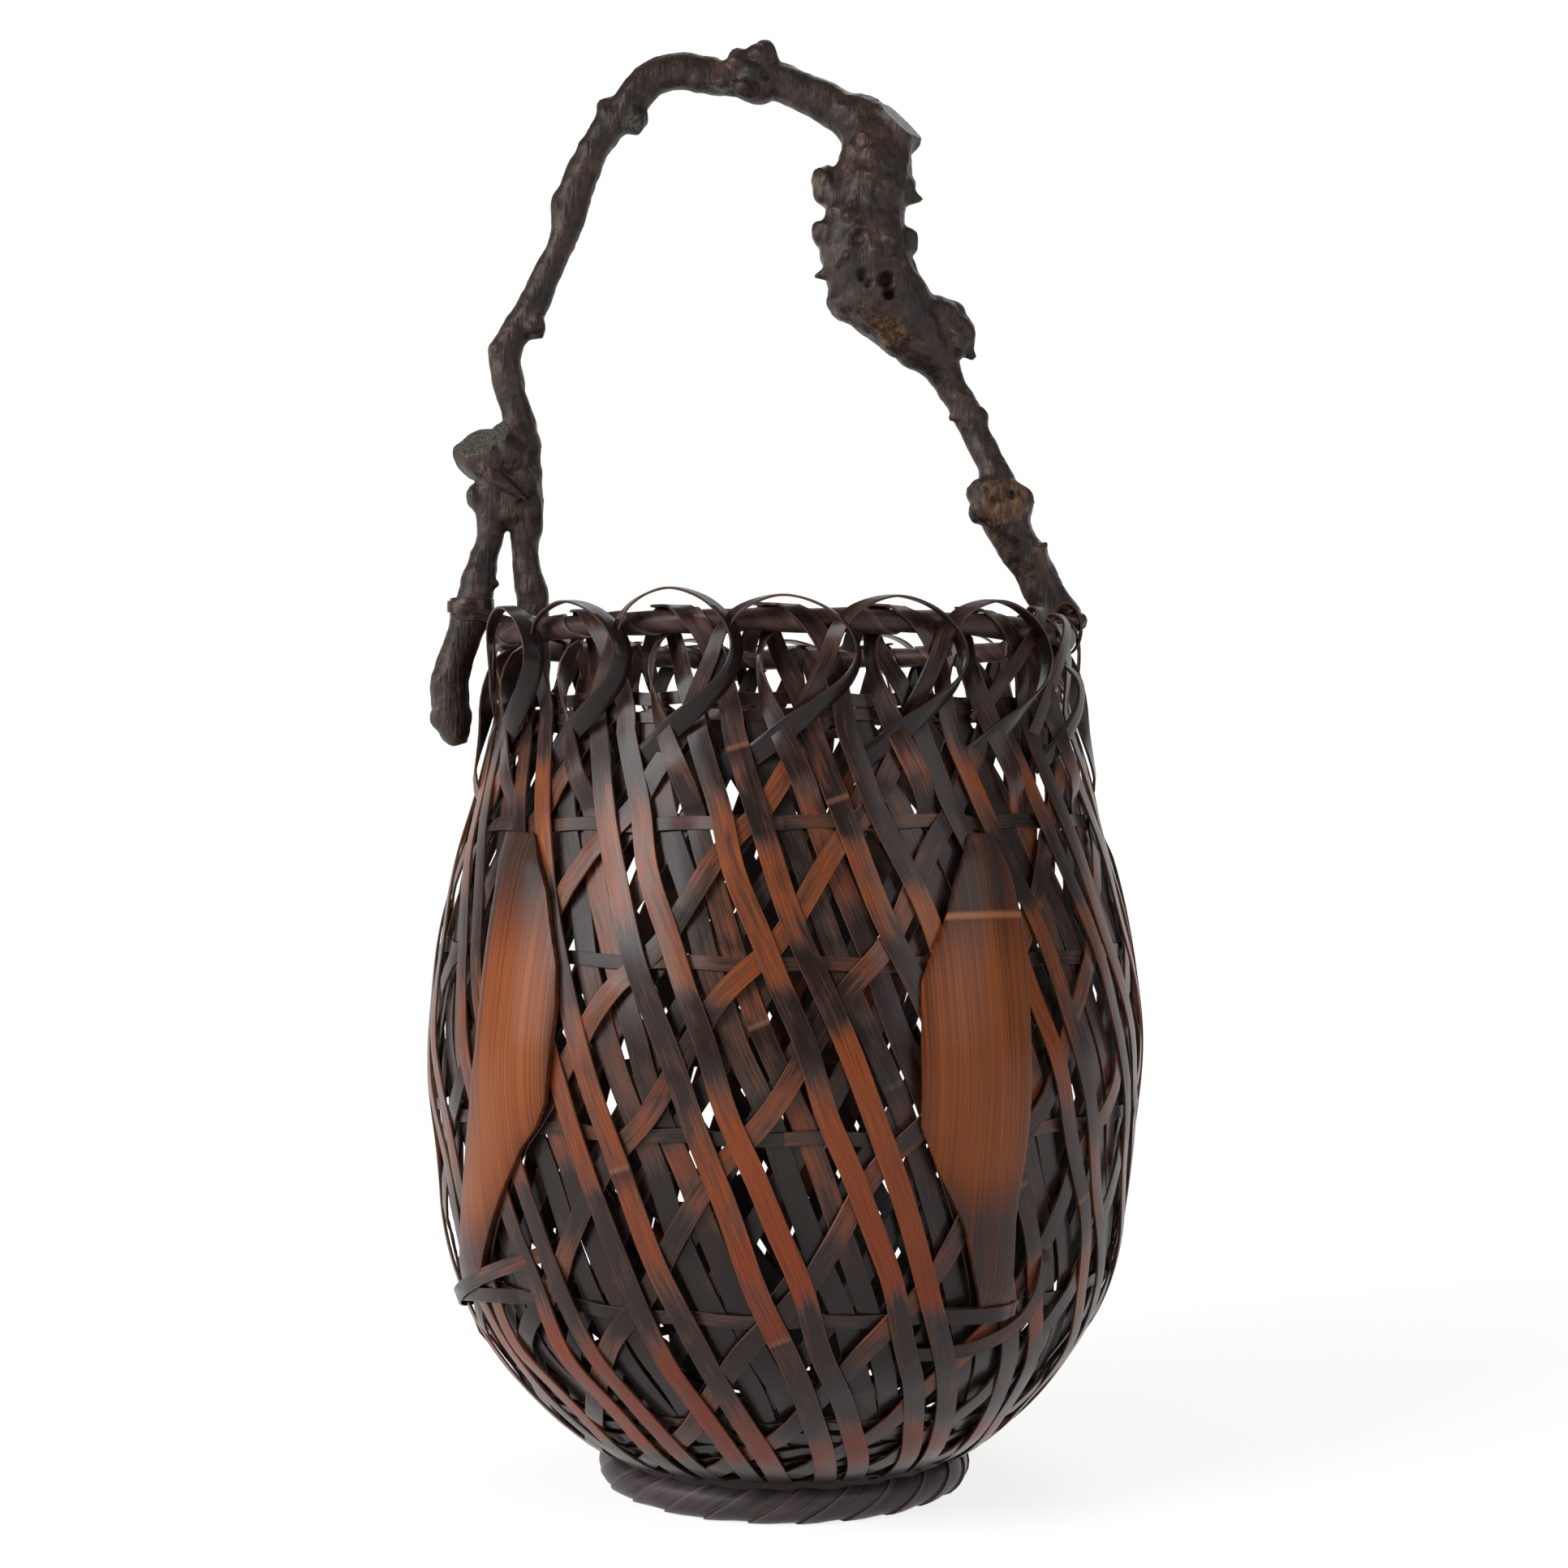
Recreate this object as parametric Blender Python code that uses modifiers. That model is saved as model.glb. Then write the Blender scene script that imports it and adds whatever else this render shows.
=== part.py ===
"""Ikebana basket of smoked bamboo on a wrapped foot ring, with a gnarled branch for its handle.

Metres, +Z up. The origin is on the basket's axis at the floor, and -Y is the front.
"""

import math

import bmesh
import bpy
from mathutils import Matrix, Vector

MM = 0.001
TURN = 2 * math.pi

# Clearances between pieces that touch on the real basket
SEAT_GAP = 0.3 * MM
LAY_GAP = 0.4 * MM
MERGE = 0.01 * MM
CUT_OVERRUN = 20 * MM

# Foot ring: a round bamboo hoop with one flat strip wound round it, edge to edge
FOOT_RADIUS = 51.5 * MM
FOOT_SECTION = 5.5 * MM
FOOT_FLAT = 0.5 * MM
FOOT_WINDINGS = 24

# Rim hoop, wound in the same way, above an open band
RIM_RADIUS = 86 * MM
RIM_SECTION = 3.7 * MM
RIM_WINDINGS = 24
RIM_GAP_HEIGHT = 19.5 * MM

WINDING_THICKNESS = 0.8 * MM
WINDING_SEAM = 1.1 * MM
WINDING_STEPS = 8
FOOT_WINDING_ROWS = 1
RIM_WINDING_ROWS = 2
GAP_SAMPLES = 4
WINDING_START = math.radians(180)
CORE_SLACK = 0.95 * MM
CORE_SIDES = 6

# Woven wall and base
BELLY_RADIUS = 109.7 * MM
WALL_HEIGHT = 226 * MM
WALL_THICKNESS = 2 * MM
BASE_THICKNESS = 2 * MM
ROUND_STEPS = 36
FOOT_OVERHANG = 9 * MM
NECK_OVERHANG = 2.3 * MM
BELLY_SHARE = 0.530
# Floor to mouth, over the outer strips: (height share of WALL_HEIGHT, share of the way out to
# BELLY_RADIUS from the overhang at the foot or, above the belly, from the overhang at the neck)
BODY_SHARES = (
    (0.0075, 0.0), (0.065, 0.3155), (0.131, 0.5585), (0.198, 0.7547), (0.304, 0.8885),
    (0.419, 0.9487), (BELLY_SHARE, 1.0), (0.614, 0.928), (0.738, 0.7078), (0.884, 0.3131), (1.0, 0.0),
)

# Openings through the wall: a plain grid of slots that stands in for the gaps of the weave. Each
# row, a height share of WALL_HEIGHT, has one slot between every two pairs of strips.
SLOT_WIDTH = 5.5 * MM
SLOT_LENGTH = 12 * MM
SLOT_DEPTH = 8 * MM
SLOT_SHARES = (0.168, 0.375, 0.580, 0.642, 0.795)

# Horizontal hoops over the woven wall, as height shares of WALL_HEIGHT
HOOP_HEIGHT = 3.8 * MM
HOOP_THICKNESS = 0.7 * MM
HOOP_SHARES = (0.248, 0.468, 0.678, 0.844, 0.985)

# Outer strips: pairs that run from the foot to the rim, lean as they rise and join in a bend on top
PAIR_COUNT = 18
PITCH = TURN / PAIR_COUNT
STRIP_WIDTH = 5.9 * MM
STRIP_THICKNESS = 0.8 * MM
PAIR_PITCH = 9.3 * MM
STRIP_TWIST = math.radians(57)
PAIR_TURN = math.radians(16)
STRIP_BEND_HEIGHT = 6 * MM
STRIP_TOP_ABOVE_RIM = 1.5 * MM

# Rim loops: strips bent round above the rim hoop
LOOP_SPAN = 39 * MM
LOOP_HEIGHT = 40 * MM
LOOP_WIDTH = 3.2 * MM
LOOP_THICKNESS = 0.8 * MM
LOOP_BASE_BELOW_RIM = 31.5 * MM
LOOP_RISE_OUT = 3.6 * MM
LOOP_TURN = math.radians(0.5)
LOOP_REST_CLEAR = math.radians(17)
# (share of LOOP_SPAN along the rim, share of LOOP_HEIGHT) along one loop
LOOP_SHARES = (
    (-0.54, 0.325), (-0.475, 0.50), (-0.41, 0.73), (-0.28, 0.91), (-0.05, 0.99), (0.20, 0.91),
    (0.40, 0.73), (0.475, 0.55), (0.40, 0.36), (0.21, 0.19), (0.04, 0.03),
)

# Slats: split culm pieces with narrow ends, laid over the strips
SLAT_WIDTH = 32 * MM
SLAT_THICKNESS = 2.8 * MM
SLAT_TURN = math.radians(28.5)
SLAT_ROWS = 4
# Outlines, foot end to top end: (height share of WALL_HEIGHT, then the left edge and the right edge
# as shares of SLAT_WIDTH, counted from the slat's middle line)
SLAT_RIGHT = (
    (0.243, 0.19, 0.47), (0.304, 0.04, 0.45), (0.419, -0.32, 0.48), (0.487, -0.54, 0.53),
    (0.530, -0.54, 0.53), (0.614, -0.53, 0.54), (0.690, -0.375, 0.55), (0.738, -0.21, 0.54),
    (0.830, 0.125, 0.375),
)
SLAT_LEFT = (
    (0.243, -1.31, -1.00), (0.304, -1.06, -0.56), (0.419, -0.76, -0.01), (0.487, -0.59, 0.36),
    (0.530, -0.50, 0.48), (0.614, -0.45, 0.53), (0.690, -0.455, 0.435), (0.738, -0.455, 0.30),
    (0.830, -0.505, -0.06),
)
# From the front right: (outline, -1 where it is mirrored). The three behind are guessed.
SLATS = ((SLAT_RIGHT, 1), (SLAT_RIGHT, -1), (SLAT_RIGHT, 1), (SLAT_RIGHT, -1), (SLAT_LEFT, 1))

# Handle: one forked branch. Its long leg stands inside the rim on the left, its short leg hangs
# outside the rim there, and its right foot sits on the hoop.
HANDLE_RISE = 180 * MM
HANDLE_TURN = math.radians(90)
STEM_RADIUS = 5 * MM
STEM_SIDES = 2
STEM_STEPS = 2
LEG_TURN = math.radians(-93)
BRANCH_TURN = math.radians(-91)
LEG_RADIUS_SHARE = 0.95
BRANCH_RADIUS_SHARE = 1.12
LEG_STRAIGHT = 9 * MM
# (across share of RIM_RADIUS, depth share of RIM_RADIUS, share of HANDLE_RISE, share of STEM_RADIUS)
STEM_SHARES = (
    (0.990, 0.00, 0.005, 1.30), (0.960, 0.00, 0.045, 1.25), (0.878, 0.00, 0.106, 1.16),
    (0.814, 0.00, 0.161, 1.45), (0.776, -0.02, 0.210, 1.85), (0.770, -0.02, 0.251, 1.60),
    (0.748, -0.01, 0.290, 1.00), (0.695, 0.01, 0.328, 0.95), (0.654, 0.02, 0.376, 1.12),
    (0.608, 0.02, 0.411, 1.00), (0.560, 0.02, 0.447, 1.20), (0.480, 0.00, 0.500, 2.10),
    (0.390, -0.03, 0.543, 2.75), (0.317, -0.05, 0.595, 2.90), (0.291, -0.05, 0.654, 2.75),
    (0.282, -0.05, 0.710, 2.40), (0.288, -0.04, 0.765, 2.55), (0.318, -0.02, 0.815, 2.20),
    (0.290, 0.00, 0.862, 1.80), (0.205, 0.01, 0.892, 1.25), (0.099, 0.01, 0.921, 1.15),
    (-0.017, 0.02, 0.946, 1.20), (-0.110, 0.02, 0.956, 1.35), (-0.206, 0.02, 0.955, 0.95),
    (-0.337, 0.01, 0.953, 0.92), (-0.468, 0.00, 0.940, 0.98), (-0.555, 0.00, 0.904, 1.02),
    (-0.622, 0.00, 0.858, 1.05), (-0.683, 0.01, 0.825, 0.95), (-0.730, 0.01, 0.786, 1.02),
    (-0.767, 0.01, 0.742, 1.02), (-0.791, 0.02, 0.696, 0.98), (-0.814, 0.02, 0.654, 0.90),
    (-0.858, 0.03, 0.606, 0.98), (-0.913, 0.04, 0.553, 1.10), (-0.983, 0.04, 0.501, 1.12),
    (-1.012, 0.04, 0.465, 1.10), (-0.988, 0.04, 0.420, 0.96), (-0.968, 0.04, 0.376, 0.94),
    (-0.985, 0.04, 0.321, 1.40), (-0.977, 0.04, 0.258, 1.50), (-0.948, 0.04, 0.189, 1.20),
    (-0.936, 0.04, 0.133, 0.93), (-0.922, 0.05, 0.092, 0.92),
)
BRANCH_SHARES = (
    (-0.985, 0.03, 0.300, 1.30), (-1.040, 0.02, 0.225, 1.45), (-1.066, 0.02, 0.172, 1.15),
    (-1.078, 0.02, 0.131, 0.90), (-1.096, 0.02, 0.103, 1.02), (-1.112, 0.02, 0.078, 1.12),
)
LEG_END_DEPTH = 19 * MM
BRANCH_END_DEPTH = 34 * MM
BRANCH_TIP_RADIUS_SHARE = 0.5
BRANCH_SWELL_SHARE = 1.12
BRANCH_SWELL_LEAN = 4 * MM
# Knots: (their row of the list above them, then across, depth and rise from that row's point and
# three half sizes, all as shares of STEM_RADIUS)
KNOT_SHARES = (
    ((STEM_SHARES, 22), 0.43, -0.34, 0.86, 1.0, 1.3, 1.0),
    ((STEM_SHARES, 22), -0.77, -0.34, 0.22, 0.9, 1.2, 1.1),
    ((STEM_SHARES, 18), 1.46, 0.00, -0.43, 1.9, 2.0, 1.6),
    ((STEM_SHARES, 16), -2.25, 0.00, -0.14, 1.1, 1.1, 1.2),
    ((STEM_SHARES, 16), 2.65, 0.17, -0.90, 0.9, 0.9, 0.7),
    ((STEM_SHARES, 14), -2.56, 0.00, -1.48, 1.1, 1.2, 1.6),
    ((STEM_SHARES, 13), 1.84, 0.34, 0.65, 1.0, 1.0, 1.5),
    ((STEM_SHARES, 11), 1.69, 0.00, 0.79, 1.8, 1.4, 1.3),
    ((STEM_SHARES, 12), -0.26, -0.86, -0.11, 1.3, 1.3, 1.8),
    ((STEM_SHARES, 4), -0.40, 0.00, 0.50, 1.9, 1.6, 1.5),
    ((STEM_SHARES, 26), -0.52, 0.00, -0.68, 1.1, 0.9, 1.2),
    ((STEM_SHARES, 34), 0.48, -0.17, -1.19, 0.7, 0.8, 0.9),
    ((STEM_SHARES, 40), -1.17, -0.34, 0.36, 2.3, 1.7, 2.0),
    ((BRANCH_SHARES, 0), -2.49, -0.17, 0.36, 1.0, 1.2, 0.8),
    ((STEM_SHARES, 3), -0.24, -0.34, -1.30, 0.7, 0.7, 0.8),
    ((BRANCH_SHARES, 4), 1.22, 0.00, -0.65, 0.5, 0.5, 0.6),
)
KNOT_STEPS = 2
TOE_HALF_LENGTH = 14 * MM
TOE_HALF_WIDTH = 4.2 * MM
TOE_HALF_HEIGHT = 3.4 * MM

# Lashings of flat strip that hold the branch to the rim hoop
LASHING_THICKNESS = 0.8 * MM
LASHING_WIDTH = 5 * MM
LASHING_POINTS = 20
LASHING_OFFSET = 10.2 * MM
LEFT_LASHING_ABOVE_RIM = 5.5 * MM

COLOURS = {
    "dark_bamboo": (0.050, 0.026, 0.021, 0.42),
    "amber_bamboo": (0.170, 0.050, 0.022, 0.36),
    "slat_bamboo": (0.290, 0.105, 0.045, 0.33),
    "winding_bamboo": (0.062, 0.033, 0.028, 0.50),
    "branch_wood": (0.028, 0.018, 0.016, 0.48),
}

FOOT_HEIGHT = 2 * FOOT_SECTION - FOOT_FLAT
FOOT_CENTRE = FOOT_SECTION - FOOT_FLAT
WALL_FOOT = FOOT_HEIGHT + SEAT_GAP
WALL_TOP = WALL_FOOT + WALL_HEIGHT
RIM_CENTRE = WALL_TOP + RIM_GAP_HEIGHT
RIM_TOP = RIM_CENTRE + RIM_SECTION
STRIP_STACK = STRIP_THICKNESS + LAY_GAP
HOOP_STACK = HOOP_THICKNESS + SEAT_GAP
WALL_STACK = STRIP_STACK + HOOP_STACK
FLANGE_RADIUS = FOOT_RADIUS + WALL_THICKNESS / 2
STRIP_RIM_RADIUS = RIM_RADIUS + RIM_SECTION + LAY_GAP

parts = bpy.data.collections.new("ikebana_basket")
cutters = bpy.data.collections.new("cutters")


def clear_scene():
    """Empty the file and link the two collections."""
    for old in list(bpy.data.objects):
        bpy.data.objects.remove(old)
    bpy.context.scene.collection.children.link(parts)
    bpy.context.scene.collection.children.link(cutters)


def move_to(made, collection):
    """Put an object in one collection alone."""
    for old in list(made.users_collection):
        old.objects.unlink(made)
    collection.objects.link(made)


def finish(mesh_object, colour):
    """Give the object its material and collection, and shade its round sides smooth."""
    red, green, blue, roughness = COLOURS[colour]
    material = bpy.data.materials.new(mesh_object.name)
    material.use_nodes = True
    shader = material.node_tree.nodes["Principled BSDF"]
    shader.inputs["Base Color"].default_value = (red, green, blue, 1)
    shader.inputs["Roughness"].default_value = roughness
    shader.inputs["Metallic"].default_value = 0
    mesh_object.data.materials.clear()
    mesh_object.data.materials.append(material)
    move_to(mesh_object, parts)
    mesh_object.data.shade_smooth()
    return mesh_object


def mesh_from(builder, name):
    """A new mesh object from a bmesh, which is freed."""
    mesh = bpy.data.meshes.new(name)
    builder.to_mesh(mesh)
    builder.free()
    made = bpy.data.objects.new(name, mesh)
    bpy.context.scene.collection.objects.link(made)
    return made


def solidify(made, thickness, offset):
    """A wall of even thickness on an open surface: offset 1 grows outwards, -1 inwards."""
    wall = made.modifiers.new("wall", "SOLIDIFY")
    wall.thickness = thickness
    wall.offset = offset
    wall.use_even_offset = True
    return made


def mapped_sheet(builder, columns, rows, place):
    """A flat grid whose corner of shares (u, v), each from 0 to 1, is moved to place(u, v).
    It returns the faces of the middle row, without the last of them."""
    made = bmesh.ops.create_grid(builder, x_segments=columns, y_segments=rows, size=0.5)
    middle = [face for face in builder.faces if abs(face.calc_center_median().y) < 0.5 / rows
              and face.calc_center_median().x + 0.5 < 1 - 1 / columns]
    for corner in made["verts"]:
        corner.co = place(corner.co.x + 0.5, corner.co.y + 0.5)
    return middle


def around(radius, angle, height):
    """A point at an angle from the front, which is -Y, growing towards +X."""
    return Vector((radius * math.sin(angle), -radius * math.cos(angle), height))


def turned(name, profile, thickness, offset, colour):
    """A turned shell: (radius, height) points from the top down, a Screw and a Solidify."""
    builder = bmesh.new()
    corners = [builder.verts.new((radius, 0, height)) for radius, height in profile]
    for upper, lower in zip(corners, corners[1:]):
        builder.edges.new((upper, lower))
    made = mesh_from(builder, name)
    screw = made.modifiers.new("turn", "SCREW")
    screw.steps = screw.render_steps = ROUND_STEPS
    screw.use_merge_vertices = True
    screw.merge_threshold = MERGE
    solidify(made, thickness, offset)
    return finish(made, colour)


def level_height(share):
    return WALL_FOOT + share * WALL_HEIGHT


def body_radius(share):
    """Radius over the outer strips at a height share of the wall."""
    least = FOOT_RADIUS + FOOT_OVERHANG if share <= BELLY_SHARE else RIM_RADIUS + NECK_OVERHANG
    swell = BODY_SHARES[-1][1]
    for low, high in zip(BODY_SHARES, BODY_SHARES[1:]):
        if share <= high[0]:
            swell = low[1] + (share - low[0]) / (high[0] - low[0]) * (high[1] - low[1])
            break
    return least + swell * (BELLY_RADIUS - least)


def make_core(name, ring_radius, section, height):
    """The round bamboo hoop inside a winding."""
    bpy.ops.mesh.primitive_torus_add(
        major_radius=ring_radius, minor_radius=section - WINDING_THICKNESS - CORE_SLACK,
        major_segments=ROUND_STEPS, minor_segments=CORE_SIDES, location=(0, 0, height))
    made = bpy.context.object
    made.name = name
    return finish(made, "dark_bamboo")


def winding_point(ring, turns, width, u, v):
    """A point of a winding's inner face, u along the strip and v across it, each from 0 to 1."""
    ring_radius, inner, height = ring
    roll = -u * TURN * turns
    angle = WINDING_START + u * TURN + v * width
    return around(ring_radius + inner * math.cos(roll), angle, height + inner * math.sin(roll))


def least_gap(ring, turns, width, run_share):
    """The least distance between the facing edges of neighbouring turns, measured on points."""
    reach = WINDING_STEPS * GAP_SAMPLES
    count = turns * reach
    first, last = ([winding_point(ring, turns, width, step / count * run_share, edge)
                    for step in range(count + 1)] for edge in (0, 1))
    return min((first[at] - last[near]).length
               for at in range(reach, count + 1)
               for near in range(at - reach, max(at - reach // 2, 0)))


def make_winding(name, ring_radius, section, height, turns, rows):
    """A flat strip wound round a hoop in one unbroken spiral, which ends a step short of its start."""
    builder = bmesh.new()
    ring = (ring_radius, section - WINDING_THICKNESS, height)
    steps = turns * WINDING_STEPS - 1
    run_share = steps / (turns * WINDING_STEPS)
    width = TURN / turns - WINDING_SEAM / ring_radius
    mapped_sheet(builder, steps, rows,
                 lambda u, v: winding_point(ring, turns, width, u * run_share, v))
    made = mesh_from(builder, name)
    solidify(made, WINDING_THICKNESS, 1)
    gap = least_gap(ring, turns, width, run_share)
    print(f"{name}: {turns} turns, least gap to itself {gap / MM:.2f} mm")
    return finish(made, "winding_bamboo")


def cut_box(name, low, high):
    """A box to cut with, from its lowest and highest corners."""
    builder = bmesh.new()
    size = high - low
    middle = Matrix.Translation((low + high) / 2)
    bmesh.ops.create_cube(builder, size=1, matrix=middle @ Matrix.Diagonal((*size, 1)))
    return as_tool(mesh_from(builder, name))


def as_tool(made):
    """Keep a solid that cuts or joins another as a hidden guide."""
    move_to(made, cutters)
    made.hide_render = True
    made.display_type = "WIRE"
    return made


def boolean(made, tool, operation):
    step = made.modifiers.new(tool.name, "BOOLEAN")
    step.object = tool
    step.operation = operation


def make_foot():
    """The wound foot ring, with the flat it stands on."""
    make_core("foot_ring_core", FOOT_RADIUS, FOOT_SECTION, FOOT_CENTRE)
    winding = make_winding("foot_ring_winding", FOOT_RADIUS, FOOT_SECTION, FOOT_CENTRE, FOOT_WINDINGS,
                           FOOT_WINDING_ROWS)
    reach = FOOT_RADIUS + FOOT_SECTION + CUT_OVERRUN
    floor = cut_box("floor_cut", Vector((-reach, -reach, -CUT_OVERRUN)), Vector((reach, reach, 0)))
    boolean(winding, floor, "DIFFERENCE")


def make_rim():
    """The wound rim hoop."""
    make_core("rim_hoop_core", RIM_RADIUS, RIM_SECTION, RIM_CENTRE)
    make_winding("rim_hoop_winding", RIM_RADIUS, RIM_SECTION, RIM_CENTRE, RIM_WINDINGS,
                 RIM_WINDING_ROWS)


def slots():
    """The boxes that cut the wall's openings. Each is square to the wall and leans with the pairs, in
    the middle of the facet that is nearest to the middle of the gap between two of them."""
    facet = TURN / ROUND_STEPS
    levels = strip_levels(True)
    builder = bmesh.new()
    for share in SLOT_SHARES:
        height = level_height(share)
        low, high = next(span for span in zip(levels, levels[1:]) if height < span[1][1])
        turned_by = low[2] + (height - low[1]) / (high[1] - low[1]) * (high[2] - low[2])
        middle = PAIR_TURN + PITCH / 2 - turned_by * STRIP_TWIST
        middle = (round(middle / facet - 0.5) + 0.5) * facet
        radius = (body_radius(share) - WALL_STACK) * math.cos(facet / 2) - WALL_THICKNESS / 2
        outward, rise = high[0] - low[0], high[1] - low[1]
        along = Vector((-STRIP_TWIST * (high[2] - low[2]) * radius, -outward, rise)).normalized()
        normal = Vector((0, -rise, -outward)).normalized()
        axes = Matrix((normal.cross(along), along, normal)).transposed().to_4x4()
        sizes = Matrix.Diagonal((SLOT_WIDTH, SLOT_LENGTH, SLOT_DEPTH, 1))
        box = Matrix.Translation((0, -radius, height)) @ axes @ sizes
        for number in range(PAIR_COUNT):
            turn = Matrix.Rotation(middle + number * PITCH, 4, "Z")
            bmesh.ops.create_cube(builder, size=1, matrix=turn @ box)
    bmesh.ops.recalc_face_normals(builder, faces=builder.faces)
    return as_tool(mesh_from(builder, "wall_slots"))


def make_wall():
    """The woven wall, down to the flange that stands on the foot ring, and the woven base in it."""
    profile = [(body_radius(share) - WALL_STACK, level_height(share))
               for share, _ in reversed(BODY_SHARES)]
    profile.append((FLANGE_RADIUS, WALL_FOOT))
    wall = turned("woven_wall", profile, WALL_THICKNESS, -1, "dark_bamboo")
    boolean(wall, slots(), "DIFFERENCE")
    builder = bmesh.new()
    rise = Matrix.Translation((0, 0, WALL_FOOT + BASE_THICKNESS / 2))
    edge = FLANGE_RADIUS - WALL_THICKNESS / 2 - SEAT_GAP
    bmesh.ops.create_cone(builder, cap_ends=True, segments=ROUND_STEPS, radius1=edge, radius2=edge,
                          depth=BASE_THICKNESS, matrix=rise)
    finish(mesh_from(builder, "woven_base"), "dark_bamboo").data.shade_flat()


def make_hoops():
    """Thin flat hoops round the woven wall, lowest first."""
    for number, share in enumerate(HOOP_SHARES, 1):
        half = HOOP_HEIGHT / 2 / WALL_HEIGHT
        profile = [(body_radius(at) - STRIP_STACK - HOOP_THICKNESS, level_height(at))
                   for at in (share + half, share - half)]
        turned(f"hoop_{number}", profile, HOOP_THICKNESS, 1, "dark_bamboo")


def strip_levels(to_rim):
    """(radius of the inner face, height, share of the run from the foot) along an outer strip."""
    places = [(body_radius(share) - STRIP_THICKNESS, level_height(share)) for share, _ in BODY_SHARES]
    if to_rim:
        top = RIM_CENTRE + STRIP_TOP_ABOVE_RIM
        places += [(STRIP_RIM_RADIUS, top - STRIP_BEND_HEIGHT), (STRIP_RIM_RADIUS, top)]
    else:
        bend = 1 - STRIP_BEND_HEIGHT / WALL_HEIGHT
        places.insert(-1, (body_radius(bend) - STRIP_THICKNESS, level_height(bend)))
    run = [0.0]
    for low, high in zip(places, places[1:]):
        run.append(run[-1] + math.hypot(high[0] - low[0], high[1] - low[1]))
    whole = WALL_HEIGHT + BELLY_RADIUS - places[0][0] - STRIP_THICKNESS
    return [(radius, height, along / whole) for (radius, height), along in zip(places, run)]


def is_near(angle, other):
    """Whether two angles round the rim are too close for a loop or a tall strip between them."""
    away = (angle - other + math.pi) % TURN - math.pi
    return abs(away) < LOOP_REST_CLEAR


def make_pairs():
    """Two outer strips side by side, joined by the bend on top. They lie on the rim hoop, apart
    from those under the handle's foot, which stop at the wall's top."""
    sides = (-PAIR_PITCH / 2 - STRIP_WIDTH / 2, -PAIR_PITCH / 2 + STRIP_WIDTH / 2,
             PAIR_PITCH / 2 - STRIP_WIDTH / 2, PAIR_PITCH / 2 + STRIP_WIDTH / 2)
    for number in range(PAIR_COUNT):
        foot_angle = PAIR_TURN + number * PITCH
        levels = strip_levels(True)
        if is_near(foot_angle - levels[-1][2] * STRIP_TWIST, HANDLE_TURN):
            levels = strip_levels(False)

        def place(u, v, levels=levels, foot_angle=foot_angle):
            radius, height, along = levels[round(u * (len(levels) - 1))]
            across = sides[round((1 - v) * (len(sides) - 1))]
            return around(radius, foot_angle - along * STRIP_TWIST + across / radius, height)

        builder = bmesh.new()
        columns = len(levels) - 1
        gaps = mapped_sheet(builder, columns, len(sides) - 1, place)
        bmesh.ops.delete(builder, geom=gaps, context="FACES")
        made = mesh_from(builder, f"strip_pair_{number + 1:02d}")
        solidify(made, STRIP_THICKNESS, 1)
        finish(made, "amber_bamboo")


def loop_centre(at, angle):
    """A point of a rim loop's middle line. Loops climb outwards so that each passes its neighbour."""
    along, rise = LOOP_SHARES[at]
    height = RIM_CENTRE - LOOP_BASE_BELOW_RIM + rise * LOOP_HEIGHT
    share = (height - WALL_FOOT) / WALL_HEIGHT
    reach = RIM_GAP_HEIGHT + STRIP_TOP_ABOVE_RIM - STRIP_BEND_HEIGHT
    lift = min(max((height - WALL_TOP) / reach, 0), 1)
    seat = body_radius(share) + lift * (STRIP_RIM_RADIUS + STRIP_THICKNESS - body_radius(share))
    radius = seat + LAY_GAP + LOOP_RISE_OUT * at / (len(LOOP_SHARES) - 1)
    return radius, angle + along * LOOP_SPAN / RIM_RADIUS, height


def loop_direction(at):
    """Unit direction of a loop at one of its points, in the sheet of the rim: (along, up)."""
    before = LOOP_SHARES[max(at - 1, 0)]
    after = LOOP_SHARES[min(at + 1, len(LOOP_SHARES) - 1)]
    run = (after[0] - before[0]) * LOOP_SPAN
    rise = (after[1] - before[1]) * LOOP_HEIGHT
    length = math.hypot(run, rise)
    return run / length, rise / length


def make_loops():
    """Strips bent over in loops above the rim, with none where the handle's legs stand."""
    angles = [LOOP_TURN + number * PITCH for number in range(PAIR_COUNT)]
    angles = [angle for angle in angles if not is_near(angle, HANDLE_TURN)
              and not is_near(angle, BRANCH_TURN)]
    for number, angle in enumerate(angles, 1):

        def place(u, v, angle=angle):
            at = round(u * (len(LOOP_SHARES) - 1))
            radius, turn, height = loop_centre(at, angle)
            run, rise = loop_direction(at)
            across = (v - 0.5) * LOOP_WIDTH
            return around(radius, turn - across * rise / radius, height + across * run)

        builder = bmesh.new()
        mapped_sheet(builder, len(LOOP_SHARES) - 1, 1, place)
        made = mesh_from(builder, f"rim_loop_{number:02d}")
        solidify(made, LOOP_THICKNESS, 1)
        finish(made, "amber_bamboo")


def make_slats():
    """Split culm pieces spaced evenly round the body, curved with it."""
    for number, (outline, way) in enumerate(SLATS):
        middle = SLAT_TURN + number * TURN / len(SLATS)
        builder = bmesh.new()

        def place(u, v, outline=outline, way=way, middle=middle):
            share, *edges = outline[round(u * (len(outline) - 1))]
            left, right = sorted(way * edge * SLAT_WIDTH for edge in edges)
            radius = body_radius(share) + SEAT_GAP
            return around(radius, middle + (right + v * (left - right)) / radius, level_height(share))

        mapped_sheet(builder, len(outline) - 1, SLAT_ROWS, place)
        made = mesh_from(builder, f"slat_{number + 1}")
        solidify(made, SLAT_THICKNESS, 1)
        finish(made, "slat_bamboo")


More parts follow.
